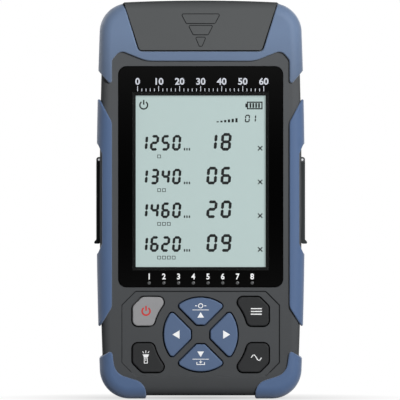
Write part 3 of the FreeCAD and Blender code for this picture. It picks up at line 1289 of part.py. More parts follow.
def make_shells(case):
    hollow = hollow_form()
    for part in kept_solid():
        hollow = hollow.cut(part)
    shell = case.cut(hollow)
    openings = shell_openings()
    for opening in openings:
        shell = shell.cut(opening)
    far = 2 * COVER_TOP
    front_half = block(-far, far, -far, PARTING_Y, -far, far)
    back_half = block(-far, far, PARTING_Y, far, -far, far)
    groove = lip(LIP_OUT - LIP_CLEAR, 0, PARTING_Y - LIP_HEIGHT - LIP_CLEAR, PARTING_Y)
    seam = extrude(outline(RUBBER), PARTING_Y - SEAM, PARTING_Y).cut(
        extrude(outline(-SEAM), PARTING_Y - SEAM, PARTING_Y))
    front = shell.common(front_half).cut(groove).cut(seam)
    rim = lip(LIP_OUT, 0, PARTING_Y - LIP_HEIGHT, PARTING_Y)
    for opening in openings:
        rim = rim.cut(opening)
    back = shell.common(back_half).fuse(rim)
    back = back.fuse(hinge_knuckles())
    lugs = door_lugs()
    for lug in lugs + [mirrored(lug) for lug in lugs]:
        if lug.BoundBox.YMax < PARTING_Y:
            front = front.fuse(lug)
        else:
            back = back.fuse(lug)
    bores = both_sides(door_pin(DOOR_PIN + PIN_FIT))
    save("front_shell", front.cut(bores))
    save("rear_shell", back.cut(bores))


def make_case_screws():
    screws = []
    top = HEAD_SEAT + HEAD_HEIGHT
    for x, z in screw_places():
        screw = bar_y(SCREW_END_Y, HEAD_SEAT, x, z, SCREW_RADIUS).fuse(bar_y(HEAD_SEAT, top, x, z, HEAD_RADIUS))
        screws.append(screw.cut(bar_y(top - HEAD_SOCKET_DEPTH, top + BEYOND, x, z, HEAD_SOCKET)))
    save("case_screws", Part.Compound(screws))


def main():
    os.makedirs("parts", exist_ok=True)
    case = case_form()
    make_rubber(case)
    make_shells(case)
    make_case_screws()
    make_dust_cover()
    make_keypad()
    make_display()
    make_board()
    make_connector_bay()
    make_side_doors()
    make_sockets()
    make_kickstand()
    make_battery()


main()
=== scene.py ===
"""Finishes, printed marks and studio for a hand-held optical power meter.

Metres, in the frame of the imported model: X to the right of someone who faces the display, Y from
the display to the back, Z up from the table. Lengths in this file are written in millimetres and
turned into metres by MM; places of printed marks and the limits of a finish stay in millimetres.
"""

import math

import bmesh
import bpy
from mathutils import Matrix, Vector


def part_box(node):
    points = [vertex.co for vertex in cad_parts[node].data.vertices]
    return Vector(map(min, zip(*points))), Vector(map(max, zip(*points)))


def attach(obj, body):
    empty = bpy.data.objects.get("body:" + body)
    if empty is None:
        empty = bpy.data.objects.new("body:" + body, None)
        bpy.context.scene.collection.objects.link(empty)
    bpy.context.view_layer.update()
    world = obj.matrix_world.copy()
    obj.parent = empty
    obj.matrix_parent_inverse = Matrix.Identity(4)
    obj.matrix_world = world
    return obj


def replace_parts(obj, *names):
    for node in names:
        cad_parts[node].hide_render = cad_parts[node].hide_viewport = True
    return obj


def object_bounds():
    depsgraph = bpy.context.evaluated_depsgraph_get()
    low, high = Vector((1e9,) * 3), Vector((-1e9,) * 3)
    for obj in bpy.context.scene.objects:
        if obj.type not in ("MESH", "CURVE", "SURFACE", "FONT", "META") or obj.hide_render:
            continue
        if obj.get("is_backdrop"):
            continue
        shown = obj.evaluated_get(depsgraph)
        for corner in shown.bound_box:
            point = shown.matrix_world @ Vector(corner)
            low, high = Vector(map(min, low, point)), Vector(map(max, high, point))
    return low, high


bl_info = {
    "name": "Optical power meter finishes",
    "version": (1, 0, 0),
    "blender": (4, 5, 0),
    "location": "3D View > Sidebar > Meter",
    "description": "Finishes, printed marks and studio for a hand-held optical power meter",
    "category": "Object",
}

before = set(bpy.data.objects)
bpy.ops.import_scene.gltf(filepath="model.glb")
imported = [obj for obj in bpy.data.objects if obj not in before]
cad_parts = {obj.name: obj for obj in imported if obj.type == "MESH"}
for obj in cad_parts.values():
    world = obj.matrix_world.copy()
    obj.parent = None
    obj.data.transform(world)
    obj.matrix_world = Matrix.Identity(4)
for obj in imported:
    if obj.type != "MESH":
        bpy.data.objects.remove(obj)            # cad_parts holds the imported pieces by name
CAD_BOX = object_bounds()
MM = 0.001


# ---- sizes and colours that a user may change ------------------------------------------------
def paint(red, green, blue):
    """Linear colour from display values of 0 to 255."""
    def linear(value):
        share = value / 255
        return share / 12.92 if share <= 0.04045 else ((share + 0.055) / 1.055) ** 2.4
    return (linear(red), linear(green), linear(blue))


def colour_property(name, description, default):
    return bpy.props.FloatVectorProperty(
        name=name, description=description, default=default, subtype="COLOR", min=0, max=1)


def length_property(name, description, default):
    return bpy.props.FloatProperty(
        name=name, description=description, default=default * MM, unit="LENGTH", min=0)


def power_property(name, description, default):
    return bpy.props.FloatProperty(name=name, description=description, default=default, unit="POWER", min=0)


class MeterColours(bpy.types.PropertyGroup):
    case: colour_property("Case", "Moulded grey case", paint(86, 88, 90))
    cover: colour_property("Dust cover", "Moulded dust cover", paint(90, 92, 93))
    doors: colour_property("Doors", "Side doors and kickstand", paint(58, 61, 62))
    # painted light: the top guard is the grips' rubber made lighter, as if lit from above
    guard: colour_property("Top guard", "Rubber of the top guard", paint(102, 122, 152))
    grip: colour_property("Grips", "Rubber of the grips and feet", paint(74, 98, 135))
    arrow_key: colour_property("Arrow keys", "Blue arrow keys", paint(92, 110, 140))
    corner_key: colour_property("Corner keys", "Dark keys at the corners", paint(52, 53, 54))
    power_key: colour_property("Power key", "Light grey power key", paint(153, 153, 155))
    power_mark: colour_property("Power mark", "Red mark on the power key", paint(192, 34, 28))
    legend: colour_property("Legends", "White print on keys and lens", paint(250, 251, 252))
    lens: colour_property("Lens", "Black print behind the lens", paint(3, 3, 3))
    screen: colour_property("Screen", "Pale ground of the display", paint(186, 205, 203))
    ink: colour_property("Segments", "Segments of the display when on", paint(8, 11, 12))
    scale: colour_property("Scale", "Silver scale above the display", paint(205, 209, 218))


class MeterPrint(bpy.types.PropertyGroup):
    window_width: length_property("Window width", "Clear window in the lens", 58.7)
    window_low: length_property("Window low", "From the lens's lower edge to the window", 9.1)
    window_high: length_property("Window high", "From the lens's upper edge to the window", 13.2)
    film: length_property("Film", "Thickness of printed marks", 0.03)
    digit_height: length_property("Digit height", "Large digits of the display", 7.1)
    digit_pitch: length_property("Digit pitch", "From one large digit to the next", 5.0)
    stroke: length_property("Digit stroke", "Width of a large digit's segments", 1.2)
    slant: bpy.props.FloatProperty(
        name="Digit slant", description="Lean of the digits, sideways for each unit of height",
        default=0.085, min=0, max=0.5)
    row_pitch: length_property("Row pitch", "From one row of the display to the next", 15.25)


class MeterStudio(bpy.types.PropertyGroup):
    distance: length_property("Camera distance", "From the camera to the display", 4000)
    frame_width: length_property("Frame width", "Width of the picture at the display", 180.7)
    key_power: power_property("Key light", "Power of the lamp before the front", 14.3)
    rear_power: power_property("Rear lights", "Power of the stronger lamp behind the back", 8.0)
    ambient: bpy.props.FloatProperty(
        name="Ambient", description="Strength of the even light from all round", default=0.04, min=0)


# ---- node graphs -----------------------------------------------------------------------------
class Wire:
    """One output in a node tree. An expression on it adds the Math nodes that it needs."""

    def __init__(self, graph, socket):
        self.graph = graph
        self.socket = socket

    def maths(self, operation, *values):
        return self.graph.node("ShaderNodeMath", {"operation": operation}, dict(enumerate(values)))

    def __add__(self, other):
        return self.maths("ADD", self, other)

    def __radd__(self, other):
        return self.maths("ADD", other, self)

    def __sub__(self, other):
        return self.maths("SUBTRACT", self, other)

    def __rsub__(self, other):
        return self.maths("SUBTRACT", other, self)

    def __mul__(self, other):
        return self.maths("MULTIPLY", self, other)

    def __rmul__(self, other):
        return self.maths("MULTIPLY", other, self)

    def __truediv__(self, other):
        return self.maths("DIVIDE", self, other)

    def over(self, edge):
        """1 where the value is more than edge, and 0 elsewhere."""
        return self.maths("GREATER_THAN", self, edge)

    def smallest(self, other):
        return self.maths("MINIMUM", self, other)

    def largest(self, other):
        return self.maths("MAXIMUM", self, other)

    def fraction(self):
        return self.maths("FRACT", self)

    def remainder(self, divisor):
        return self.maths("MODULO", self, divisor)


class Graph:
    """Adds nodes to a tree: settings first, then the values or links of the sockets."""

    def __init__(self, tree):
        self.tree = tree

    def node(self, kind, settings=None, sockets=None, output=0):
        made = self.tree.nodes.new(kind)
        for key, value in (settings or {}).items():
            setattr(made, key, value)
        for key, value in (sockets or {}).items():
            self.feed(self.socket(made.inputs, key), value)
        return Wire(self, self.socket(made.outputs, output))

    def socket(self, sockets, key):
        """A socket by its number, its identifier or its name."""
        if isinstance(key, int):
            return sockets[key]
        for found in sockets:
            if found.identifier == key:
                return found
        return sockets[key]

    def feed(self, socket, value):
        """Links an input to a wire, or sets it to a plain value."""
        if isinstance(value, Wire):
            self.tree.links.new(value.socket, socket)
        else:
            socket.default_value = value


class Finish(Graph):
    """A material round one Principled shader."""

    def __init__(self, name, **constants):
        self.material = bpy.data.materials.new(name)
        self.material.use_nodes = True
        super().__init__(self.material.node_tree)
        self.tree.nodes.clear()
        self.shader = self.tree.nodes.new("ShaderNodeBsdfPrincipled")
        out = self.tree.nodes.new("ShaderNodeOutputMaterial")
        self.tree.links.new(self.shader.outputs[0], out.inputs[0])
        self.place = self.node("ShaderNodeTexCoord", output="Object")
        for key, value in constants.items():
            self.set(key.replace("_", " "), value)

    def set(self, socket, value):
        """Feeds an input of the shader. A colour of three parts gets its fourth."""
        if isinstance(value, tuple) and len(value) == 3:
            value = (*value, 1.0)
        self.feed(self.shader.inputs[socket], value)

    def noise(self, size, detail=2.0, stretch=(1.0, 1.0, 1.0)):
        """Noise from 0 to 1 whose features are about size millimetres across."""
        place = self.node("ShaderNodeMapping", {}, {"Vector": self.place, "Scale": stretch})
        return self.node("ShaderNodeTexNoise", {}, {
            "Vector": place, "Scale": 1 / (size * MM), "Detail": detail})

    def cells(self, size):
        """Distance to the nearest of many scattered points, about size millimetres apart."""
        return self.node("ShaderNodeTexVoronoi", {}, {"Vector": self.place, "Scale": 1 / (size * MM)})

    def axis(self, letter):
        """Place along an axis of the object, in metres."""
        return self.node("ShaderNodeSeparateXYZ", {}, {0: self.place}, output=letter)

    def blend(self, share, first, second):
        """Colour from first to second as share goes from 0 to 1."""
        ends = {"Factor_Float": share, "A_Color": (*first, 1.0), "B_Color": (*second, 1.0)}
        return self.node("ShaderNodeMix", {"data_type": "RGBA"}, ends, output="Result_Color")

    def vary(self, share, colour, darker, lighter):
        """The colour, from darker to lighter by those factors as share goes from 0 to 1."""
        return self.blend(share, shade(colour, darker), shade(colour, lighter))

    def climb(self, letter, low, high):
        """Along an axis, 0 as far as low and 1 from high, both in millimetres."""
        share = (self.axis(letter) * (1 / MM) - low) * (1 / (high - low))
        return share.largest(0.0).smallest(1.0)

    def within(self, letter, low, high, soft=0.3):
        """1 between two places on an axis and 0 outside them, over a soft edge."""
        return self.climb(letter, low - soft, low) * (1 - self.climb(letter, high, high + soft))

    def scaled(self, colour, factor):
        """The colour made lighter or darker by a factor that may vary."""
        return self.node("ShaderNodeVectorMath", {"operation": "SCALE"}, {0: colour, "Scale": factor})

    def painted_shade_by_height(self, colour, low, high, least):
        """Painted shade: the colour in full above the height high, and that share of it, least, below low.
        """
        return self.scaled(colour, least + (1 - least) * self.climb("Z", low, high))

    def relief(self, height, depth, strength):
        """Bump of up to depth millimetres."""
        self.set("Normal", self.node("ShaderNodeBump", {}, {
            "Strength": strength, "Distance": depth * MM, "Height": height}))


def background_rays(graph):
    """1 for rays that show the background: from the camera, in a reflection or through glass."""
    camera, glossy, through = (
        graph.node("ShaderNodeLightPath", output=f"Is {kind} Ray")
        for kind in ("Camera", "Glossy", "Transmission"))
    return camera.largest(glossy).largest(through)


def corners_mm(node):
    """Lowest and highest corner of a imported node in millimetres."""
    return [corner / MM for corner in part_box(node)]


def shade(colour, factor):
    """The colour made lighter or darker."""
    return tuple(min(1.0, part * factor) for part in colour)


# ---- finishes: features and bump depths in millimetres, the rest as shares -------------------
PART_GLOSS = 0.2                # specular level of small plain parts
ALONG_X = (0.2, 1.0, 1.0)       # stretches a metal's marks along one axis
ALONG_Z = (1.0, 1.0, 0.2)


def moulded(name, colour, grain=0.28, roughness=0.5, depth=0.012, variation=0.05, gloss=0.006, fade=None,
            painted_shade=None):
    """Spark-textured moulded plastic: fine grain, faint flow marks, a little uneven in gloss."""
    pit_spacing, flow_length = 1.6 * grain, 22.0
    finish = Finish(name, Specular_IOR_Level=gloss)
    fine = finish.noise(grain, detail=3.0)
    pits = finish.cells(pit_spacing)
    flow = finish.noise(flow_length, detail=3.0, stretch=(1.0, 1.0, 0.45))
    tone = finish.vary(flow * 0.7 + fine * 0.3, colour, 1 - variation, 1 + variation)
    # painted shade, darker towards the bottom as if less lit there
    if fade:
        tone = finish.painted_shade_by_height(tone, *fade)
    # painted shade where the caller's mask lies in shadow
    if painted_shade:
        tone = finish.scaled(tone, 1 - painted_shade(finish))
    finish.set("Base Color", tone)
    finish.set("Roughness", roughness - 0.05 + 0.07 * fine + 0.04 * flow)
    finish.relief(fine * 0.7 + pits * 0.3, depth, 0.6)
    return finish.material


def rubber(name, colour, fade=None):
    """Soft-touch elastomer: matt, finely pebbled, slightly dusty."""
    pebble_spacing, grain, haze_patch, depth = 0.42, 0.2, 16.0, 0.014
    finish = Finish(name, Sheen_Weight=0.3, Sheen_Roughness=0.6, Specular_IOR_Level=0.25)
    pebble = finish.cells(pebble_spacing)
    fine = finish.noise(grain, detail=2.0)
    haze = finish.noise(haze_patch, detail=4.0)
    tone = finish.vary(haze * 0.75 + fine * 0.25, colour, 0.95, 1.05)
    # painted shade, darker towards the bottom as if less lit there
    if fade:
        tone = finish.painted_shade_by_height(tone, *fade)
    finish.set("Base Color", tone)
    finish.set("Roughness", 0.5 + 0.1 * haze + 0.08 * fine)
    finish.relief(pebble * 0.6 + fine * 0.4, depth, 0.6)
    return finish.material


def key_plastic(name, colour):
    """Matt-lacquered key cap: smoother than the case, glossier from thumbs, with painted shade down its
    sides.
    """
    grain, thumb_patch, depth = 0.18, 6.0, 0.006
    clean, shade_full = 0.4, 0.8         # where the painted shade down the sides starts and is full, behind the keys' faces
    face = corners_mm("key_up")[0].y
    finish = Finish(name, Coat_Roughness=0.35, Specular_IOR_Level=0.03)
    fine = finish.noise(grain, detail=2.0)
    touch = finish.noise(thumb_patch, detail=3.0)
    tone = finish.vary(touch, colour, 0.96, 1.04)
    # painted shade down the key's sides, in the shadow of the gap round it
    finish.set("Base Color", finish.scaled(tone, 1 - 0.8 * finish.climb("Y", face + clean, face + shade_full)))
    finish.set("Roughness", 0.46 - 0.09 * touch + 0.05 * fine)
    finish.set("Coat Weight", 0.02 + 0.04 * touch)
    finish.relief(fine, depth, 0.5)
    return finish.material


def metal(name, colour, roughness, brushed=(1.0, 1.0, 1.0)):
    """Bare metal with fine machining marks, longer along an axis whose brushed is under 1."""
    mark, stain_patch, depth = 0.12, 3.0, 0.004
    finish = Finish(name, Metallic=1.0)
    marks = finish.noise(mark, detail=4.0, stretch=brushed)
    cloud = finish.noise(stain_patch)
    finish.set("Base Color", finish.vary(cloud, colour, 0.88, 1.06))
    finish.set("Roughness", roughness - 0.06 + 0.16 * marks)
    finish.relief(marks, depth, 0.4)
    return finish.material


def ink(name, colour, roughness=0.55, **constants):
    """Screen-printed ink, a touch uneven in cover."""
    speck_size, thin_patch, depth = 0.15, 1.4, 0.004
    finish = Finish(name, **constants)
    speck = finish.noise(speck_size, detail=2.0)
    cover = finish.noise(thin_patch, detail=2.0)
    finish.set("Base Color", finish.vary(cover * 0.7 + speck * 0.3, colour, 0.94, 1.03))
    finish.set("Roughness", roughness - 0.04 + 0.08 * speck)
    finish.relief(speck, depth, 0.4)
    return finish.material


def lens_print(name, colour):
    """Gloss black behind a clear hard-coated lens, with a painted reflection that makes it paler towards the
    lens's ends.
    """
    haze_patch, peel, depth = 30.0, 2.2, 0.0015
    darkest, reach, painted_reflection_gain = 41.6, 56.0, 6.5        # above the lens's lower edge, and from there, and how much the painted reflection lightens the black
    middle = corners_mm("display_lens")[0].z + darkest
    finish = Finish(name, Specular_IOR_Level=0.006)
    haze = finish.noise(haze_patch, detail=2.0)
    orange_peel = finish.noise(peel, detail=1.0)
    away = (finish.axis("Z") * (1 / MM) - middle) * (1 / reach)
    share = (away * away * (0.9 + 0.2 * haze)).smallest(1.0)
    # painted reflection: the black grows paler away from the middle height
    finish.set("Base Color", finish.vary(share, colour, 1.0, painted_reflection_gain))
    finish.set("Roughness", 0.07 + 0.05 * haze)
    finish.relief(orange_peel, depth, 0.3)
    return finish.material


def clear_pane(name):
    """Clear window of the lens: a faint film over what is behind it."""
    finish = Finish(name, Base_Color=(0.5, 0.53, 0.52), Alpha=0.02, Specular_IOR_Level=0.1)
    haze = finish.noise(24.0)
    finish.set("Roughness", 0.05 + 0.06 * haze)
    return finish.material


def screen_glass(name, colour):
    """Ground of the display: pale film, faintly ribbed and clouded, glowing partly from its backlight and
    partly with painted light that keeps the lens border's shadow faint.
    """
    backlight_and_painted_light = 0.6
    grain, cloud_patch, rib_pitch = 0.25, 26.0, 0.3
    finish = Finish(name, Specular_IOR_Level=0.1, Emission_Strength=backlight_and_painted_light)
    film = finish.noise(grain, detail=2.0)
    cloud = finish.noise(cloud_patch, detail=2.0)
    ribs = (finish.axis("X") * (1 / (rib_pitch * MM))).fraction()
    tone = finish.vary(cloud * 0.6 + film * 0.3 + ribs * 0.1, colour, 0.985, 1.015)
    # the glow is partly the backlight and partly painted light in place of lamp light
    finish.set("Base Color", finish.scaled(tone, 1 - backlight_and_painted_light))
    finish.set("Emission Color", tone)
    finish.set("Roughness", 0.3 + 0.08 * film)
    return finish.material


def lamp_tip(name, colour):
    """Frosted clear tip of a lamp."""
    grain, depth = 0.3, 0.01
    finish = Finish(name, Coat_Weight=0.4, Coat_Roughness=0.1)
    frost = finish.noise(grain, detail=2.0)
    finish.set("Base Color", finish.vary(frost, colour, 0.75, 1.25))
    finish.set("Roughness", 0.25 + 0.1 * frost)
    finish.relief(frost, depth, 0.5)
    return finish.material


def circuit_board(name):
    """Green solder mask over copper tracks and pads."""
    track_pitch, pad_spacing, pad_reach, depth = 9.0, 2.4, 0.3, 0.03
    mask, covered_copper = (0.008, 0.075, 0.032), (0.05, 0.2, 0.07)
    finish = Finish(name, Coat_Weight=0.3, Coat_Roughness=0.25)
    upright = {"Vector": finish.place, "Rotation": (math.pi / 2, 0.0, 0.0)}
    tracks = finish.node("ShaderNodeTexBrick", {"offset": 0.37, "squash": 1.4}, {
        "Vector": finish.node("ShaderNodeMapping", {}, upright),
        "Scale": 1 / (track_pitch * MM), "Mortar Size": 0.035, "Mortar Smooth": 0.2}, output="Fac")
    pads = 1 - finish.cells(pad_spacing).over(pad_reach)
    copper = tracks.largest(pads * 0.6)
    finish.set("Base Color", finish.blend(copper, mask, covered_copper))
    finish.set("Roughness", 0.42 - 0.1 * copper)
    finish.relief(copper, depth, 0.6)
    return finish.material


def cell_wrap(name):
    """Printed sleeve of a cell: dark body with a copper-coloured top band."""
    band_height, grain, depth = 14 * MM, 0.5, 0.004
    body, copper = (0.02, 0.022, 0.024), (0.42, 0.2, 0.08)
    finish = Finish(name, Coat_Weight=0.3, Coat_Roughness=0.15)
    band = finish.axis("Z").over(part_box("battery_cells")[1].z - band_height)
    speck = finish.noise(grain)
    finish.set("Base Color", finish.blend(band, body, copper))
    finish.set("Roughness", 0.25 + 0.1 * speck)
    finish.relief(speck, depth, 0.3)
    return finish.material


def dress(material, *nodes):
    """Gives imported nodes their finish."""
    for node in nodes:
        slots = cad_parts[node].data.materials
        slots.clear()
        slots.append(material)


# ---- printed marks ---------------------------------------------------------------------------
# The lit segments of each digit: a at the top, then clockwise to f, and g across the middle.
SEGMENTS = {
    "0": "abcdef", "1": "bc", "2": "abged", "3": "abgcd", "4": "fgbc",
    "5": "afgcd", "6": "afgedc", "7": "abc", "8": "abcdefg", "9": "abcdfg",
}


class Print:
    """Flat marks on a face that looks along -Y. Points are X and Z in millimetres from a centre.

    The face and the centre are given in metres, the film and the gap under it in millimetres.
    """

    point_gap = 0.04        # left free at each end of a display segment, in strokes
    point_length = 0.4      # how far a display segment tapers at each end, in strokes
    open_arc = (125, 415)   # ends of the ring of a power mark, in degrees from the X axis
    ring_steps = 28

    def __init__(self, face, film, centre=(0.0, 0.0), gap=0.01):
        self.mesh = bmesh.new()
        self.back = face - gap * MM
        self.front = self.back - film * MM
        self.centre = centre

    def shape(self, points):
        """Closed outline, given in either direction."""
        cx, cz = self.centre
        rings = [
            [self.mesh.verts.new((cx + x * MM, y, cz + z * MM)) for x, z in points]
            for y in (self.front, self.back)
        ]
        count = len(points)
        self.mesh.faces.new(rings[0])
        self.mesh.faces.new(reversed(rings[1]))
        for i in range(count):
            j = (i + 1) % count
            self.mesh.faces.new((rings[0][j], rings[0][i], rings[1][i], rings[1][j]))

    def bar(self, x0, x1, z0, z1):
        self.shape([(x0, z0), (x1, z0), (x1, z1), (x0, z1)])

    def bars(self, count, left, pitch, width, z0, z1):
        """Row of like bars, each pitch further right."""
        for i in range(count):
            self.bar(left + i * pitch, left + i * pitch + width, z0, z1)

    def band(self, x, z, radius, width, start=0.0, end=360.0):
        """Part of a ring, its angles in degrees from the X axis."""
        for i in range(self.ring_steps):
            a = math.radians(start + (end - start) * i / self.ring_steps)
            b = math.radians(start + (end - start) * (i + 1) / self.ring_steps)
            inner, outer = radius - width / 2, radius + width / 2
            self.shape([
                (x + inner * math.cos(a), z + inner * math.sin(a)),
                (x + outer * math.cos(a), z + outer * math.sin(a)),
                (x + outer * math.cos(b), z + outer * math.sin(b)),
                (x + inner * math.cos(b), z + inner * math.sin(b)),
            ])

    def line(self, start, end, width):
        """Straight stroke with square ends."""
        along = (Vector(end) - Vector(start)).normalized() * width / 2
        side = Vector((-along.y, along.x))
        corners = [Vector(start) + side, Vector(start) - side, Vector(end) - side, Vector(end) + side]
        self.shape([tuple(corner) for corner in corners])

    def frame(self, x0, x1, z0, z1, width):
        """Outline of a rectangle, its strokes inside the edges."""
        self.bar(x0, x1, z0, z0 + width)
        self.bar(x0, x1, z1 - width, z1)
        self.bar(x0, x0 + width, z0 + width, z1 - width)
        self.bar(x1 - width, x1, z0 + width, z1 - width)

    def triangle(self, x, z, half, height, turn=0):
        """Arrow head that points up, or is turned anticlockwise by so many degrees."""
        a = math.radians(turn)
        corners = [(-half, -height / 2), (half, -height / 2), (0.0, height / 2)]
        self.shape([
            (x + u * math.cos(a) - v * math.sin(a), z + u * math.sin(a) + v * math.cos(a))
            for u, v in corners])

    def segment(self, x0, z0, x1, z1, stroke, lean):
        """One display segment with pointed ends; lean gives the sideways shift at a height."""
        along = Vector((x1 - x0, z1 - z0)).normalized()
        side = Vector((-along.y, along.x)) * stroke / 2
        gap = along * stroke * self.point_gap
        a, b = Vector((x0, z0)) + gap, Vector((x1, z1)) - gap
        inward = along * stroke * self.point_length
        points = [a, a + inward + side, b - inward + side, b, b - inward - side, a + inward - side]
        self.shape([(p.x + lean(p.y), p.y) for p in points])

    def digit(self, symbol, x, z, height, width, stroke, slant):
        """Seven-segment digit whose lower left corner is at x and z."""
        left, right = x + stroke / 2, x + width - stroke / 2
        low, middle, high = z + stroke / 2, z + height / 2, z + height - stroke / 2
        ends = {
            "a": (left, high, right, high), "d": (left, low, right, low), "g": (left, middle, right, middle),
            "b": (right, middle, right, high), "c": (right, low, right, middle),
            "e": (left, low, left, middle), "f": (left, middle, left, high),
        }
        for name in SEGMENTS[symbol]:
            self.segment(*ends[name], stroke, lambda at: (at - z) * slant)

    def number(self, text, x, z, height, width, stroke, slant, pitch):
        """Row of digits, each pitch further right."""
        for i, symbol in enumerate(text):
            self.digit(symbol, x + i * pitch, z, height, width, stroke, slant)

    def power(self, x, z, radius, width):
        """Common power mark: a ring that is open at the top, and a stroke in the opening."""
        self.band(x, z, radius, width, *self.open_arc)
        self.bar(x - width / 2, x + width / 2, z + radius * 0.1, z + radius * 1.35)

    def finish(self, name, body, material):
        """Makes the marks one piece that rides on body."""
        bmesh.ops.recalc_face_normals(self.mesh, faces=self.mesh.faces)
        piece = add_piece(name, self.mesh, material)
        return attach(piece, body)


def add_piece(name, mesh, material):
    """Turns a bmesh into an object of the scene."""
    data = bpy.data.meshes.new(name)
    mesh.to_mesh(data)
    mesh.free()
    data.materials.append(material)
    piece = bpy.data.objects.new(name, data)
    bpy.context.scene.collection.objects.link(piece)
    return piece


DIGIT_SHARE = 0.7       # height of a digit in the built-in font, of its size
BOLDNESS = 0.035        # how far a digit's outline is moved out, of its height


def numeral(text, x, z, height, face, stretch):
    """Mesh of a printed numeral centred at x with its foot at z, in metres."""
    curve = bpy.data.curves.new("numeral", "FONT")
    curve.body = text
    curve.align_x = "CENTER"
    curve.size = height / DIGIT_SHARE
    curve.offset = height * BOLDNESS
    curve.resolution_u = 4
    holder = bpy.data.objects.new("numeral", curve)
    bpy.context.scene.collection.objects.link(holder)
    bpy.context.view_layer.update()
    mesh = bpy.data.meshes.new_from_object(holder.evaluated_get(bpy.context.evaluated_depsgraph_get()))
    bpy.data.objects.remove(holder)
    bpy.data.curves.remove(curve)
    turn = Matrix.Rotation(math.pi / 2, 4, "X")
    mesh.transform(Matrix.Translation((x, face, z)) @ Matrix.Diagonal((stretch, 1.0, 1.0, 1.0)) @ turn)
    return mesh


def join_meshes(meshes):
    """One bmesh of several meshes, which are used up."""
    joined = bmesh.new()
    for mesh in meshes:
        joined.from_mesh(mesh)
        bpy.data.meshes.remove(mesh)
    return joined


# ---- repeated pieces, by geometry nodes ------------------------------------------------------
SOCKET_TYPES = {int: "NodeSocketInt", float: "NodeSocketFloat"}


class Rule(Graph):
    """A geometry tree with named inputs whose result is made real and given one finish."""

    def __init__(self, name, material, **inputs):
        super().__init__(bpy.data.node_groups.new(name, "GeometryNodeTree"))
        self.name = name
        self.values = {}
        face = self.tree.interface
        face.new_socket("Geometry", in_out="INPUT", socket_type="NodeSocketGeometry")
        face.new_socket("Geometry", in_out="OUTPUT", socket_type="NodeSocketGeometry")
        self.entry = self.tree.nodes.new("NodeGroupInput")
        for key, value in {**inputs, "finish": material}.items():
            kind = "NodeSocketMaterial" if key == "finish" else SOCKET_TYPES[type(value)]
            made = face.new_socket(key, in_out="INPUT", socket_type=kind)
            self.values[made.identifier] = value
        self.points = Wire(self, self.entry.outputs[0])

    def value(self, name):
        """One of the named inputs."""
        return Wire(self, self.entry.outputs[name])

    def vector(self, x=0.0, y=0.0, z=0.0):
        return self.node("ShaderNodeCombineXYZ", {}, {0: x, 1: y, 2: z})

    def copies(self, points, shape, **sockets):
        """An instance of shape at each point."""
        return self.node("GeometryNodeInstanceOnPoints", {}, {
            "Points": points, "Instance": shape, **{k.capitalize(): v for k, v in sockets.items()}})

    def piece(self, result, body, seeds=()):
        """Runs the rule on points given in metres, and leaves a plain mesh that rides on body."""
        real = self.node("GeometryNodeRealizeInstances", {}, {0: result})
        dressed = self.node("GeometryNodeSetMaterial", {}, {0: real, "Material": self.value("finish")})
        out = self.tree.nodes.new("NodeGroupOutput")
        self.tree.links.new(dressed.socket, out.inputs[0])
        start = bpy.data.meshes.new(self.name)
        start.from_pydata([tuple(seed) for seed in seeds], [], [])
        holder = bpy.data.objects.new(self.name, start)
        bpy.context.scene.collection.objects.link(holder)
        modifier = holder.modifiers.new("rule", "NODES")
        modifier.node_group = self.tree
        for identifier, value in self.values.items():
            modifier[identifier] = value
        graph = bpy.context.evaluated_depsgraph_get()
        mesh = bpy.data.meshes.new_from_object(holder.evaluated_get(graph))
        if not mesh.polygons:
            raise RuntimeError(f"{self.name} came out empty")
        holder.modifiers.remove(modifier)
        holder.data = mesh
        bpy.data.meshes.remove(start)
        mesh.name = self.name
        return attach(holder, body)


def groups(node, reach):
    """Boxes of the separate solids of a node that stand more than reach apart in front view."""
    found = []
    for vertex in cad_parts[node].data.vertices:
        p = vertex.co
        for low, high in found:
            if low.x - reach < p.x < high.x + reach and low.z - reach < p.z < high.z + reach:
                low[:] = map(min, low, p)
                high[:] = map(max, high, p)
                break
        else:
            found.append((p.copy(), p.copy()))
    return found


# ---- operators -------------------------------------------------------------------------------
class MeterOperator:
    """What the operators share."""

    bl_options = {"REGISTER", "UNDO"}

    @property
    def sizes(self):
        return bpy.context.scene.meter_print

    def colour(self, name):
        return tuple(getattr(bpy.context.scene.meter_colours, name))


class METER_OT_case(MeterOperator, bpy.types.Operator):
    """Finish the moulded shells, the battery door and the bay's floor"""
    bl_idname = "meter.case"
    bl_label = "Case"

    fade = (5.0, 135.0, 0.8)                # painted shade, darker towards the bottom: two heights, and the share of the colour left below them
    # painted shadow on the slope round the keypad
    slope_start, slope_end = 0.08, 0.5      # behind the case's front face
    beside_mat, above_mat = 5.0, 3.7        # how far the slope reaches past the keypad's mat
    in_mat = 1.2                            # and where it starts, above the mat's foot
    dusty_below, clean_above = 4.0, 11.0    # heights of the painted shade at the case's foot

    def execute(self, context):
        case = moulded("case_plastic", self.colour("case"), fade=self.fade, painted_shade=self.painted_shade)
        dress(case, "front_shell", "rear_shell", "battery_door")
        panel = moulded("panel_plastic", paint(30, 31, 32), roughness=0.42, gloss=PART_GLOSS)
        dress(panel, "connector_panel")
        return {"FINISHED"}

    def painted_shade(self, finish):
        """How much painted shade darkens the case: a painted shadow on the slope round the keypad, and shade
        low down.
        """
        face = corners_mm("front_shell")[0].y
        low, high = corners_mm("keypad_mat")
        slope = finish.within("Y", face + self.slope_start, face + self.slope_end, 0.06)
        across = finish.within("X", low.x - self.beside_mat, high.x + self.beside_mat)
        keypad = slope * across * finish.within("Z", low.z + self.in_mat, high.z + self.above_mat)
        return keypad * 0.55 + (1 - finish.climb("Z", self.dusty_below, self.clean_above)) * 0.2


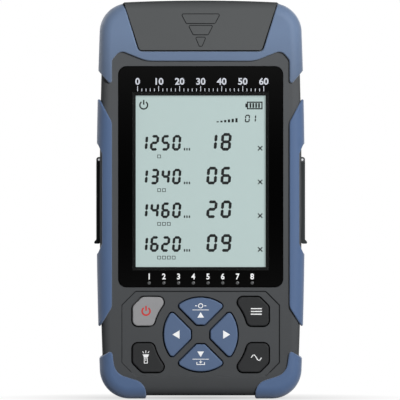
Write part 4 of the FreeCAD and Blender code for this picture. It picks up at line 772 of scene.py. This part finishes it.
class METER_OT_guards(MeterOperator, bpy.types.Operator):
    """Finish the rubber guards at the top, the sides and the feet"""
    bl_idname = "meter.guards"
    bl_label = "Rubber guards"

    fade = (142.0, 165.0, 0.68)             # painted shade, lighter towards the top as if lit from above: two heights, and the share of the colour left below them
    lip_start, lip_length = 7.9, 29.0       # in front of the rear shell's back, and forwards from there
    # outline of a lip, out from the cover's side and up from the rear shell's top
    lip_profile = ((-0.95, -2.0), (-0.2, -0.3), (0.25, -0.45), (0.9, -1.1), (0.6, -2.0))

    def execute(self, context):
        dress(rubber("guard_rubber", self.colour("guard"), fade=self.fade), "top_bumper")
        self.seals()
        grip = rubber("grip_rubber", self.colour("grip"))
        dress(grip, "grip_left", "grip_right", "foot_left", "foot_right")
        return {"FINISHED"}

    def seals(self):
        """Thin lips that close the slits beside the dust cover, standing on the guard's ends."""
        edge, shell = corners_mm("dust_cover")[1].x, corners_mm("rear_shell")[1]
        lips = Print((shell.y - self.lip_start) * MM, self.lip_length, gap=0.0)
        for side in (-1, 1):
            lips.shape([(side * (edge + out), shell.z + up) for out, up in self.lip_profile])
        lips.finish("cover_seals", "meter", rubber("seal_rubber", paint(60, 66, 76)))


class METER_OT_cover_and_doors(MeterOperator, bpy.types.Operator):
    """Finish the dust cover, the side doors, the kickstand and their pins"""
    bl_idname = "meter.cover_and_doors"
    bl_label = "Cover and doors"

    # painted shade in the grooves of the thumb pads and along the top edge
    groove_start, groove_floor = 0.45, 0.7      # behind the cover's front
    pads_low, pads_high = 5.0, 4.5              # where the grooves end, below the cover's top
    edge_low, edge_high = 3.8, 0.6              # the painted shade along the top edge, below the cover's top
    edge_front, edge_back = 2.8, 5.3            # and where it ends, behind the front

    def execute(self, context):
        cover = moulded("cover_plastic", self.colour("cover"), roughness=0.48, painted_shade=self.painted_shade)
        dress(cover, "dust_cover")
        door = moulded("door_plastic", self.colour("doors"), roughness=0.52, grain=0.24)
        dress(door, "port_door_left", "port_door_right", "kickstand")
        pin = metal("pin_steel", paint(196, 197, 200), 0.3, brushed=ALONG_X)
        dress(pin, "cover_hinge_pin", "door_pin_left", "door_pin_right")
        return {"FINISHED"}

    def painted_shade(self, finish):
        """How much painted shade darkens the cover: in the grooves of its thumb pads, and along its top
        front edge.
        """
        low, high = corners_mm("dust_cover")
        front, top = low.y, high.z
        deep = finish.climb("Y", front + self.groove_start, front + self.groove_floor)
        grooves = deep * (1 - finish.climb("Z", top - self.pads_low, top - self.pads_high))
        behind = finish.climb("Y", front + self.edge_front, front + self.edge_back)
        edge = finish.climb("Z", top - self.edge_low, top - self.edge_high) * (1 - behind)
        return grooves * 0.7 + edge * 0.38


class METER_OT_keys(MeterOperator, bpy.types.Operator):
    """Finish the eight key caps and the mat behind them"""
    bl_idname = "meter.keys"
    bl_label = "Keys"

    def execute(self, context):
        arrow = key_plastic("arrow_key_plastic", self.colour("arrow_key"))
        corner = key_plastic("corner_key_plastic", self.colour("corner_key"))
        dress(arrow, "key_up", "key_down", "key_left", "key_right")
        dress(corner, "key_menu", "key_torch", "key_wavelength")
        dress(key_plastic("power_key_plastic", self.colour("power_key")), "key_power")
        dress(rubber("keypad_silicone", paint(24, 25, 26)), "keypad_mat")
        return {"FINISHED"}


class METER_OT_key_legends(MeterOperator, bpy.types.Operator):
    """Print the marks on the keys"""
    bl_idname = "meter.key_legends"
    bl_label = "Key legends"

    # how far a mark stands from the middle of its key, away from the keypad's middle and up
    outward = {"menu": 1.4 * MM, "torch": 1.0 * MM, "wavelength": 1.4 * MM, "power": 0.9 * MM}
    upward = {"torch": 0.5 * MM}

    def execute(self, context):
        white = ink("legend_ink", self.colour("legend"))
        red = ink("power_ink", self.colour("power_mark"))
        marks = {
            "up": self.up, "down": self.down, "left": self.left, "right": self.right,
            "menu": self.menu, "torch": self.torch, "wavelength": self.wave, "power": self.power,
        }
        for name, draw in marks.items():
            low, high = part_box(f"key_{name}")
            middle = (low.x + high.x) / 2
            middle += math.copysign(self.outward.get(name, 0.0), middle)
            level = (low.z + high.z) / 2 + self.upward.get(name, 0.0)
            sheet = Print(low.y, self.sizes.film / MM, (middle, level))
            draw(sheet)
            sheet.finish(f"legend_{name}", f"key_{name}_cap", red if name == "power" else white)
        return {"FINISHED"}

    def up(self, sheet):
        """Arrow, a line over it and a small ring between two dashes."""
        sheet.triangle(0, -1.65, 1.5, 2.5)
        sheet.bar(-3.7, 3.7, 0.45, 0.72)
        sheet.band(0, 2.45, 0.98, 0.36)
        sheet.bars(2, -2.5, 4.1, 0.9, 2.27, 2.63)

    def down(self, sheet):
        """Arrow, a line under it and a small arrow into a tray."""
        sheet.triangle(0, 1.65, 1.5, 2.5, 180)
        sheet.bar(-3.7, 3.7, -0.72, -0.45)
        sheet.triangle(0, -2.05, 0.75, 0.9, 180)
        sheet.bar(-0.17, 0.17, -1.7, -1.15)
        sheet.bars(2, -1.9, 3.46, 0.34, -3.15, -1.9)
        sheet.bar(-1.56, 1.56, -3.15, -2.8)

    def left(self, sheet):
        sheet.triangle(-0.6, 0, 1.9, 3.2, 90)

    def right(self, sheet):
        sheet.triangle(1.2, 0, 1.9, 3.2, -90)

    def menu(self, sheet):
        """Three bars."""
        for row in (-1.25, 0.0, 1.25):
            sheet.bar(-2.5, 2.5, row - 0.24, row + 0.24)

    def torch(self, sheet):
        """Hand lamp with its head up, a switch on its body and three rays."""
        sheet.shape([(-1.45, 1.0), (1.45, 1.0), (0.85, -0.35), (-0.85, -0.35)])
        sheet.frame(-0.85, 0.85, -3.1, -0.55, 0.3)
        sheet.bar(-0.2, 0.2, -1.9, -1.2)
        for turn in (-32, 0, 32):
            across, along = math.sin(math.radians(turn)), math.cos(math.radians(turn))
            sheet.line((1.7 * across, 1.4 + 0.2 * along), (2.8 * across, 2.75 * along), 0.3)

    def wave(self, sheet):
        """One period of a sine wave."""
        steps, length, rise = 14, 4.6, 1.25
        points = [
            (length * (i / steps - 0.5), rise * math.sin(2 * math.pi * i / steps)) for i in range(steps + 1)]
        for start, end in zip(points, points[1:]):
            sheet.line(start, end, 0.42)

    def power(self, sheet):
        sheet.power(0, 0.1, 1.78, 0.72)


class METER_OT_lens(MeterOperator, bpy.types.Operator):
    """Make the lens: a black border printed behind it, and a clear window"""
    bl_idname = "meter.lens"
    bl_label = "Lens"

    corner = 3.8 * MM
    corner_steps = 12
    rim = 0.3 * MM
    rim_middle = 0.3        # how far in the rim's rounding is halfway round it, as a share of the rim
    weld = 1e-7             # points nearer than this become one

    def execute(self, context):
        low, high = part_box("display_lens")
        window = self.window(low, high)
        border = self.border(low, high, window)
        piece = add_piece("lens_border", border, lens_print("lens_gloss", self.colour("lens")))
        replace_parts(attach(piece, "meter"), "display_lens")
        pane = add_piece("lens_window", self.pane(low, high, window), clear_pane("lens_clear"))
        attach(pane, "meter")
        dress(rubber("gasket_foam", paint(22, 22, 22)), "lens_gasket")
        return {"FINISHED"}

    def window(self, low, high):
        """Left, right, lower and upper edge of the clear window."""
        middle = (low.x + high.x) / 2
        half = self.sizes.window_width / 2
        return middle - half, middle + half, low.z + self.sizes.window_low, high.z - self.sizes.window_high

    def spread(self, window, by):
        """The window's edges moved out on all sides."""
        x0, x1, z0, z1 = window
        return x0 - by, x1 + by, z0 - by, z1 + by

    def pane(self, low, high, window):
        """Clear block that fills the opening."""
        mesh = bmesh.new()
        rings = []
        for y, by in ((low.y, high.y - low.y), (high.y, 0.0)):
            x0, x1, z0, z1 = self.spread(window, by)
            corners = ((x0, z0), (x1, z0), (x1, z1), (x0, z1))
            rings.append([mesh.verts.new((x, y, z)) for x, z in corners])
        front, back = rings
        mesh.faces.new(front)
        mesh.faces.new(reversed(back))
        for i in range(len(front)):
            j = (i + 1) % len(front)
            mesh.faces.new((front[j], front[i], back[i], back[j]))
        bmesh.ops.recalc_face_normals(mesh, faces=mesh.faces)
        return mesh

    def outline(self, low, high, inset):
        """Rounded rectangle, from the lower right corner round."""
        radius = self.corner - inset
        corners = ((high.x, low.z), (high.x, high.z), (low.x, high.z), (low.x, low.z))
        points = []
        for quarter, (x, z) in enumerate(corners):
            cx = x - math.copysign(self.corner, x)
            cz = z + (self.corner if z == low.z else -self.corner)
            for i in range(self.corner_steps + 1):
                a = (quarter - 1 + i / self.corner_steps) * math.pi / 2
                points.append((cx + radius * math.cos(a), cz + radius * math.sin(a)))
        return points

    def border(self, low, high, window):
        """Plate with a rounded front rim, and an opening that widens towards the front."""
        mesh = bmesh.new()
        rings = []
        middle = self.rim * self.rim_middle
        rim = ((0.0, high.y), (0.0, low.y + self.rim), (middle, low.y + middle), (self.rim, low.y))
        for inset, y in rim:
            rings.append([mesh.verts.new((x, y, z)) for x, z in self.outline(low, high, inset)])
        for y, by in ((low.y, high.y - low.y), (high.y, 0.0)):
            x0, x1, z0, z1 = self.spread(window, by)
            rings.append([
                mesh.verts.new((min(max(v.co.x, x0), x1), y, min(max(v.co.z, z0), z1)))
                for v in rings[0]])
        count = len(rings[0])
        order = rings + rings[:1]
        for first, second in zip(order, order[1:]):
            for i in range(count):
                j = (i + 1) % count
                mesh.faces.new((first[i], first[j], second[j], second[i]))
        bmesh.ops.remove_doubles(mesh, verts=mesh.verts, dist=self.weld)
        bmesh.ops.recalc_face_normals(mesh, faces=mesh.faces)
        return mesh


class METER_OT_screen(MeterOperator, bpy.types.Operator):
    """Finish the display and set its digits and marks"""
    bl_idname = "meter.screen"
    bl_label = "Display"

    channels = ("1250", "1340", "1460", "1620")
    readings = ("18", "06", "20", "09")
    first_row = 24.9                    # foot of the first row, below the window's upper edge
    # Marks of a row: places across from the display's middle, and up from the row's foot
    channel_x, channel_width = -28.1, 3.9
    reading_x, reading_width = 2.4, 4.7
    reading_taller, reading_wider, reading_bolder = 0.9, 1.4, 1.1
    mark_rise = 0.1                     # foot of the dots and the cross
    dots, dot_height = {"count": 3, "left": -7.6, "pitch": 1.1, "width": 0.6}, 1.1
    cross_x, cross_half, cross_stroke = 26.9, 1.0, 0.5
    frame_left, frame_pitch, frame_side, frame_stroke = -19.6, 2.2, 1.6, 0.26
    frame_drop = 3.4                    # foot of the small frames, below the row's foot
    # Marks of the top line: places across from the display's middle, and below the window's upper edge
    power_mark, power_drop = {"x": -25.75, "radius": 1.75, "width": 0.62}, 4.3
    battery_left, battery_right, battery_top, battery_foot = 20.9, 28.0, 2.7, 6.2
    battery_stroke = 0.55
    knob_left, knob_top, knob_foot = 20.2, 3.6, 5.3
    charge, charge_top, charge_foot = {"count": 4, "left": 22.1, "pitch": 1.3, "width": 0.8}, 3.4, 5.5
    level_foot = 12.1                   # foot of the level bars and the small digits
    level_count, level_left, level_pitch, level_width = 6, 7.2, 1.7, 1.0
    level_height, level_growth = 0.5, 0.28
    small_text, small_x = "01", 19.9
    small_digit = {"height": 3.5, "width": 2.2, "stroke": 0.55, "pitch": 2.8}

    def execute(self, context):
        dress(screen_glass("screen_film", self.colour("screen")), "lcd_glass")
        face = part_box("lcd_glass")[0].y
        dark = ink("segment_ink", self.colour("ink"), roughness=0.4, Specular_IOR_Level=0.05)
        digits, marks = (Print(face, self.sizes.film / MM) for sheet in range(2))
        for row, texts in enumerate(zip(self.channels, self.readings)):
            self.row(digits, marks, row, *texts)
        self.status(digits, marks)
        digits.finish("screen_digits", "meter", dark)
        marks.finish("screen_marks", "meter", dark)
        return {"FINISHED"}

    @property
    def top(self):
        """Height of the window's upper edge."""
        return (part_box("display_lens")[1].z - self.sizes.window_high) / MM

    def row(self, digits, marks, row, channel, reading):
        """One line of the display: a channel, dots, a reading, a cross and small frames below."""
        size = self.sizes
        foot = self.top - self.first_row - row * size.row_pitch / MM
        stroke, pitch, height = size.stroke / MM, size.digit_pitch / MM, size.digit_height / MM
        digits.number(channel, self.channel_x, foot, height, self.channel_width, stroke, size.slant, pitch)
        digits.number(
            reading, self.reading_x, foot, height + self.reading_taller, self.reading_width,
            stroke * self.reading_bolder, size.slant, pitch + self.reading_wider)
        low = foot + self.mark_rise
        marks.bars(**self.dots, z0=low, z1=low + self.dot_height)
        under = foot - self.frame_drop
        for i in range(row + 1):
            left = self.frame_left + i * self.frame_pitch
            marks.frame(left, left + self.frame_side, under, under + self.frame_side, self.frame_stroke)
        high = low + 2 * self.cross_half
        for across in (-self.cross_half, self.cross_half):
            marks.line((self.cross_x - across, low), (self.cross_x + across, high), self.cross_stroke)

    def status(self, digits, marks):
        """Top line of the display: a power mark, a battery, level bars and two small digits."""
        top = self.top
        marks.power(**self.power_mark, z=top - self.power_drop)
        marks.frame(
            self.battery_left, self.battery_right, top - self.battery_foot, top - self.battery_top,
            self.battery_stroke)
        marks.bar(self.knob_left, self.battery_left, top - self.knob_foot, top - self.knob_top)
        marks.bars(**self.charge, z0=top - self.charge_foot, z1=top - self.charge_top)
        foot = top - self.level_foot
        for i in range(self.level_count):
            left = self.level_left + i * self.level_pitch
            marks.bar(left, left + self.level_width, foot, foot + self.level_height + i * self.level_growth)
        digits.number(self.small_text, self.small_x, foot, **self.small_digit, slant=self.sizes.slant)


class METER_OT_lens_print(MeterOperator, bpy.types.Operator):
    """Print the scale and the lamp numbers on the lens, and set the lamp tips in it"""
    bl_idname = "meter.lens_print"
    bl_label = "Lens print"

    print_gap = 0.02 * MM               # from the lens to the print
    lamp_reach = 1.5 * MM               # more than the gaps inside a lamp's mesh
    lamp_number = {"height": 2.55 * MM, "rise": 1.7 * MM, "stretch": 0.92}
    tip_radius, tip_rise = 0.72 * MM, 0.1 * MM
    numbers, ticks_per_number, tick_pitch = 7, 5, 1.9 * MM
    tick_width, tick_short, tick_long = 0.3 * MM, 1.3 * MM, 2.4 * MM
    scale_rise = 1.9 * MM               # from the window to the ticks
    scale_number = {"height": 2.9 * MM, "rise": 3.1 * MM, "stretch": 1.05}

    def execute(self, context):
        lens_low, lens_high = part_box("display_lens")
        face = lens_low.y - self.print_gap
        self.lamps(face)
        self.scale(face, lens_high.z - self.sizes.window_high + self.scale_rise)
        return {"FINISHED"}

    def lamps(self, face):
        """Lamp numbers, and a flat clear tip over each lamp."""
        places = [(low + high) / 2 for low, high in groups("indicator_leds", self.lamp_reach)]
        places.sort(key=lambda place: place.x)
        look = self.lamp_number
        meshes = [
            numeral(str(i + 1), place.x, place.z + look["rise"], look["height"], face, look["stretch"])
            for i, place in enumerate(places)
        ]
        white = ink("lens_ink", self.colour("legend"))
        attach(add_piece("lamp_numbers", join_meshes(meshes), white), "meter")
        frosted = lamp_tip("lamp_frost", paint(52, 54, 55))
        rule = Rule("lamp_tips", frosted, radius=self.tip_radius, rise=self.tip_rise, sides=20)
        dome = rule.node("GeometryNodeMeshUVSphere", {}, {
            "Segments": rule.value("sides"), "Rings": 10, "Radius": rule.value("radius")})
        flat = rule.node("GeometryNodeTransform", {}, {
            0: dome, "Scale": rule.vector(1.0, rule.value("rise") / rule.value("radius"), 1.0)})
        result = rule.copies(rule.points, flat)
        seeds = [(place.x, face + self.print_gap, place.z) for place in places]
        rule.piece(result, "meter", seeds)

    def scale(self, face, foot):
        """Plain measuring scale: short and long ticks under round numbers."""
        silver = ink("scale_ink", self.colour("scale"), roughness=0.35)
        count = self.ticks_per_number * (self.numbers - 1) + 1
        rule = Rule(
            "scale_ticks", silver, count=count, pitch=self.tick_pitch, width=self.tick_width,
            short=self.tick_short, long=self.tick_long)
        half = rule.value("pitch") * (rule.value("count") - 1) / 2
        line = rule.node("GeometryNodeMeshLine", {"mode": "OFFSET"}, {
            "Count": rule.value("count"), "Start Location": rule.vector(0.0 - half, face, foot),
            "Offset": rule.vector(rule.value("pitch"))})
        index = rule.node("GeometryNodeInputIndex")
        numbered = 1 - index.remainder(self.ticks_per_number).over(0.5)
        height = rule.value("short") + numbered * (rule.value("long") - rule.value("short"))
        tick = rule.node("GeometryNodeMeshCube", {}, {"Size": (1.0, 1.0, 1.0)})
        raised = rule.node("GeometryNodeTransform", {}, {0: tick, "Translation": (0.0, 0.0, 0.5)})
        size = rule.vector(rule.value("width"), self.sizes.film, height)
        rule.piece(rule.copies(line, raised, scale=size), "meter")
        pitch, look = self.tick_pitch * self.ticks_per_number, self.scale_number
        level, before = foot + look["rise"], face - self.print_gap / 2
        places = [(i - self.numbers // 2) * pitch for i in range(self.numbers)]
        meshes = [
            numeral(str(10 * i), place, level, look["height"], before, look["stretch"])
            for i, place in enumerate(places)
        ]
        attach(add_piece("scale_numbers", join_meshes(meshes), silver), "meter")


class METER_OT_fibre_ports(MeterOperator, bpy.types.Operator):
    """Finish the fibre ports and the torch in the bay, and cut the ports' threads"""
    bl_idname = "meter.fibre_ports"
    bl_label = "Fibre ports"

    flange_half = 6.0 * MM
    thread_radius, thread_pitch, thread_ridge = 4.0 * MM, 0.75 * MM, 0.16 * MM
    thread_foot, thread_end = 3.9 * MM, 0.7 * MM       # left plain at the flange and at the mouth

    def execute(self, context):
        nickel = metal("port_nickel", paint(205, 204, 200), 0.28, brushed=ALONG_Z)
        dress(nickel, "port_adapters", "detector_modules")
        zirconia = moulded(
            "zirconia", paint(236, 234, 226), grain=0.1, roughness=0.22, depth=0.002, gloss=PART_GLOSS)
        dress(zirconia, "alignment_sleeves")
        dress(moulded("lamp_body", paint(214, 208, 176), roughness=0.3, gloss=PART_GLOSS), "torch_led")
        dress(lamp_tip("torch_clear", paint(206, 212, 216)), "torch_lens")
        self.threads(nickel)
        return {"FINISHED"}

    def threads(self, nickel):
        """A ridge wound round each port's barrel."""
        low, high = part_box("port_adapters")
        foot = low.z + self.thread_foot
        rule = Rule(
            "port_threads", nickel, radius=self.thread_radius, pitch=self.thread_pitch,
            ridge=self.thread_ridge, height=high.z - foot - self.thread_end)
        turns = rule.value("height") / rule.value("pitch")
        spiral = rule.node("GeometryNodeCurveSpiral", {}, {
            "Resolution": 40, "Rotations": turns, "Start Radius": rule.value("radius"),
            "End Radius": rule.value("radius"), "Height": rule.value("height")})
        profile = rule.node("GeometryNodeCurvePrimitiveCircle", {}, {
            "Resolution": 6, "Radius": rule.value("ridge")})
        thread = rule.node("GeometryNodeCurveToMesh", {}, {
            "Curve": spiral, "Profile Curve": profile, "Fill Caps": True})
        middles = (low.x + self.flange_half, high.x - self.flange_half)
        centres = [(x, low.y + self.flange_half, foot) for x in middles]
        rule.piece(rule.copies(rule.points, thread), "meter", centres)


class METER_OT_sockets(MeterOperator, bpy.types.Operator):
    """Finish the sockets behind the side doors"""
    bl_idname = "meter.sockets"
    bl_label = "Side sockets"

    def execute(self, context):
        socket = moulded("socket_plastic", paint(34, 35, 36), grain=0.2, roughness=0.4, gloss=PART_GLOSS)
        dress(socket, "network_sockets")
        dress(metal("contact_gold", paint(222, 184, 96), 0.22), "socket_contacts")
        dress(metal("shield_steel", paint(190, 192, 195), 0.3, brushed=ALONG_X), "usb_socket")
        dress(moulded("jack_plastic", paint(20, 20, 21), roughness=0.35, gloss=PART_GLOSS), "charge_socket")
        return {"FINISHED"}


class METER_OT_screws(MeterOperator, bpy.types.Operator):
    """Finish the screws, and shape the six-lobed drive in each case screw"""
    bl_idname = "meter.screws"
    bl_label = "Screws"

    screw_reach = 3 * MM                # more than the gaps inside a screw's mesh
    drive_reach, drive_lobe, drive_depth, drive_lobes = 1.1 * MM, 0.34 * MM, 1.1 * MM, 6
    head_depth = 0.6 * MM               # from the head's face to the drive's middle

    def execute(self, context):
        steel = metal("screw_steel", paint(150, 151, 154), 0.34)
        dress(steel, "case_screws", "board_screws", "port_screws")
        rule = Rule(
            "screw_drives", steel, reach=self.drive_reach, lobe=self.drive_lobe, depth=self.drive_depth,
            lobes=self.drive_lobes)
        ring = rule.node("GeometryNodeMeshCircle", {}, {
            "Vertices": rule.value("lobes"), "Radius": rule.value("reach")})
        post = rule.node("GeometryNodeMeshCylinder", {}, {
            "Vertices": 12, "Radius": rule.value("lobe"), "Depth": rule.value("depth")})
        drive = rule.node("GeometryNodeTransform", {}, {
            0: rule.copies(ring, post), "Rotation": (math.pi / 2, 0.0, 0.0)})
        places = [
            ((low.x + high.x) / 2, high.y - self.head_depth, (low.z + high.z) / 2)
            for low, high in groups("case_screws", self.screw_reach)]
        rule.piece(rule.copies(rule.points, drive), "meter", places)
        return {"FINISHED"}


class METER_OT_inside(MeterOperator, bpy.types.Operator):
    """Finish the board, the display's back and the battery"""
    bl_idname = "meter.inside"
    bl_label = "Inside"

    def execute(self, context):
        dress(circuit_board("board_mask"), "main_board")
        dress(moulded("diffuser", paint(236, 236, 230), roughness=0.3, gloss=PART_GLOSS), "backlight")
        dress(moulded("frame_plastic", paint(222, 222, 218), roughness=0.45), "lcd_frame")
        dress(lamp_tip("light_pipe", paint(190, 194, 196)), "indicator_leds")
        black = moulded("component_black", paint(24, 24, 25), roughness=0.4, gloss=PART_GLOSS)
        dress(black, "buzzer", "processor")
        dress(cell_wrap("cell_sleeve"), "battery_cells")
        dress(metal("plated_steel", paint(208, 208, 206), 0.25), "battery_plates", "battery_springs")
        return {"FINISHED"}


class METER_OT_studio(MeterOperator, bpy.types.Operator):
    """Set the floor, the backdrop, the lights and the camera"""
    bl_idname = "meter.studio"
    bl_label = "Studio"

    # name, place and size in metres, and share of the front or rear power of each lamp
    front_lamp = ("key_lamp", (0.52, -1.02, 0.5), 0.35, 1.0)
    rear_lamps = (("left_lamp", (-0.95, 0.75, 0.5), 0.5, 1.0), ("right_lamp", (0.45, 1.05, 0.55), 0.5, 0.7))
    floor_half = 9.0
    shadow_share, white_from = 0.5, 0.1     # share of plain white under the object, and where it is all
    camera_offset = (-0.3 * MM, -0.2 * MM)  # to the side and up, from the middle of the object
    sensor = 36.0
    far_clip = 50.0

    def execute(self, context):
        studio = context.scene.meter_studio
        context.scene.view_settings.view_transform = "Standard"
        low, high = CAD_BOX
        self.floor(low.z)
        self.world(studio.ambient)
        aim = Vector((0.0, 0.0, high.z / 2))
        self.lamp(aim, studio.key_power, *self.front_lamp)
        for rear in self.rear_lamps:
            self.lamp(aim, studio.rear_power, *rear)
        self.camera(studio, low, high)
        return {"FINISHED"}

    def floor(self, height):
        """Wide flat sheet of paper under the feet."""
        mesh = bmesh.new()
        half = self.floor_half
        corners = ((-half, -half), (half, -half), (half, half), (-half, half))
        mesh.faces.new([mesh.verts.new((x, y, height)) for x, y in corners])
        add_piece("paper_sheet", mesh, self.paper())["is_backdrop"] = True

    def paper(self):
        """White paper: it takes the shadow near the object, and shows white further off."""
        tone, cloud = (0.3, 0.3, 0.3), 40.0
        finish = Finish("paper", Roughness=0.9, Specular_IOR_Level=0.1)
        fibre = finish.noise(cloud, detail=3.0)
        finish.set("Base Color", finish.vary(fibre, tone, 14 / 15, 16 / 15))
        distance = finish.node(
            "ShaderNodeVectorMath", {"operation": "LENGTH"}, {0: finish.place}, output="Value")
        climb = (1 - self.shadow_share) / self.white_from
        far = (distance * climb + self.shadow_share).smallest(1.0)
        white = finish.node("ShaderNodeEmission", {}, {"Strength": 1.0})
        out = next(node for node in finish.tree.nodes if node.type == "OUTPUT_MATERIAL")
        mixed = finish.node("ShaderNodeMixShader", {}, {
            0: background_rays(finish) * far, 1: Wire(finish, finish.shader.outputs[0]), 2: white})
        finish.tree.links.new(mixed.socket, out.inputs[0])
        return finish.material

    def world(self, ambient):
        """White where it shows, and a weak even light elsewhere."""
        world = bpy.data.worlds.new("studio")
        world.use_nodes = True
        graph = Graph(world.node_tree)
        graph.tree.nodes.clear()
        white, even = (
            graph.node("ShaderNodeBackground", {}, {"Color": (1.0, 1.0, 1.0, 1.0), "Strength": strength})
            for strength in (1.0, ambient))
        mixed = graph.node("ShaderNodeMixShader", {}, {0: background_rays(graph), 1: even, 2: white})
        out = graph.tree.nodes.new("ShaderNodeOutputWorld")
        graph.tree.links.new(mixed.socket, out.inputs[0])
        bpy.context.scene.world = world

    def lamp(self, aim, power, name, place, size, share):
        data = bpy.data.lights.new(name, "AREA")
        data.size = size
        data.energy = power * share
        lamp = bpy.data.objects.new(name, data)
        lamp.location = place
        lamp.rotation_euler = (aim - Vector(place)).to_track_quat("-Z", "Y").to_euler()
        bpy.context.scene.collection.objects.link(lamp)

    def camera(self, studio, low, high):
        """Level camera that looks straight at the display from far off."""
        data = bpy.data.cameras.new("camera")
        data.sensor_width = self.sensor
        data.lens = data.sensor_width * studio.distance / studio.frame_width
        data.clip_end = self.far_clip
        camera = bpy.data.objects.new("camera", data)
        across, up = self.camera_offset
        camera.location = (across, low.y - studio.distance, (high.z - low.z) / 2 + up)
        camera.rotation_euler = (math.pi / 2, 0.0, 0.0)
        bpy.context.scene.collection.objects.link(camera)
        bpy.context.scene.camera = camera


PIECE_OPERATORS = (
    METER_OT_case, METER_OT_guards, METER_OT_cover_and_doors, METER_OT_keys, METER_OT_key_legends,
    METER_OT_lens, METER_OT_screen, METER_OT_lens_print, METER_OT_fibre_ports, METER_OT_sockets,
    METER_OT_screws, METER_OT_inside, METER_OT_studio,
)


class METER_PT_pieces(bpy.types.Panel):
    """Lists the colours, the print sizes and the operators"""
    bl_idname = "METER_PT_pieces"
    bl_label = "Optical power meter"
    bl_space_type = "VIEW_3D"
    bl_region_type = "UI"
    bl_category = "Meter"

    def draw(self, context):
        scene = context.scene
        for group in (scene.meter_colours, scene.meter_print, scene.meter_studio):
            box = self.layout.box()
            for name in group.bl_rna.properties.keys():
                if name not in ("rna_type", "name"):
                    box.prop(group, name)
        for operator in PIECE_OPERATORS:
            self.layout.operator(operator.bl_idname)


GROUPS = {"meter_colours": MeterColours, "meter_print": MeterPrint, "meter_studio": MeterStudio}
CLASSES = (*GROUPS.values(), *PIECE_OPERATORS, METER_PT_pieces)


def register():
    for item in CLASSES:
        bpy.utils.register_class(item)
    for name, group in GROUPS.items():
        setattr(bpy.types.Scene, name, bpy.props.PointerProperty(type=group))


def unregister():
    for name in GROUPS:
        delattr(bpy.types.Scene, name)
    for item in reversed(CLASSES):
        bpy.utils.unregister_class(item)


def main():
    register()
    for operator in PIECE_OPERATORS:
        space, name = operator.bl_idname.split(".")
        getattr(getattr(bpy.ops, space), name)()
    boxes = {"cad": CAD_BOX, "visual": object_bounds()}
    sizes = {name: [list(corner) for corner in box] for name, box in boxes.items()}


if __name__ == "__main__":
    main()
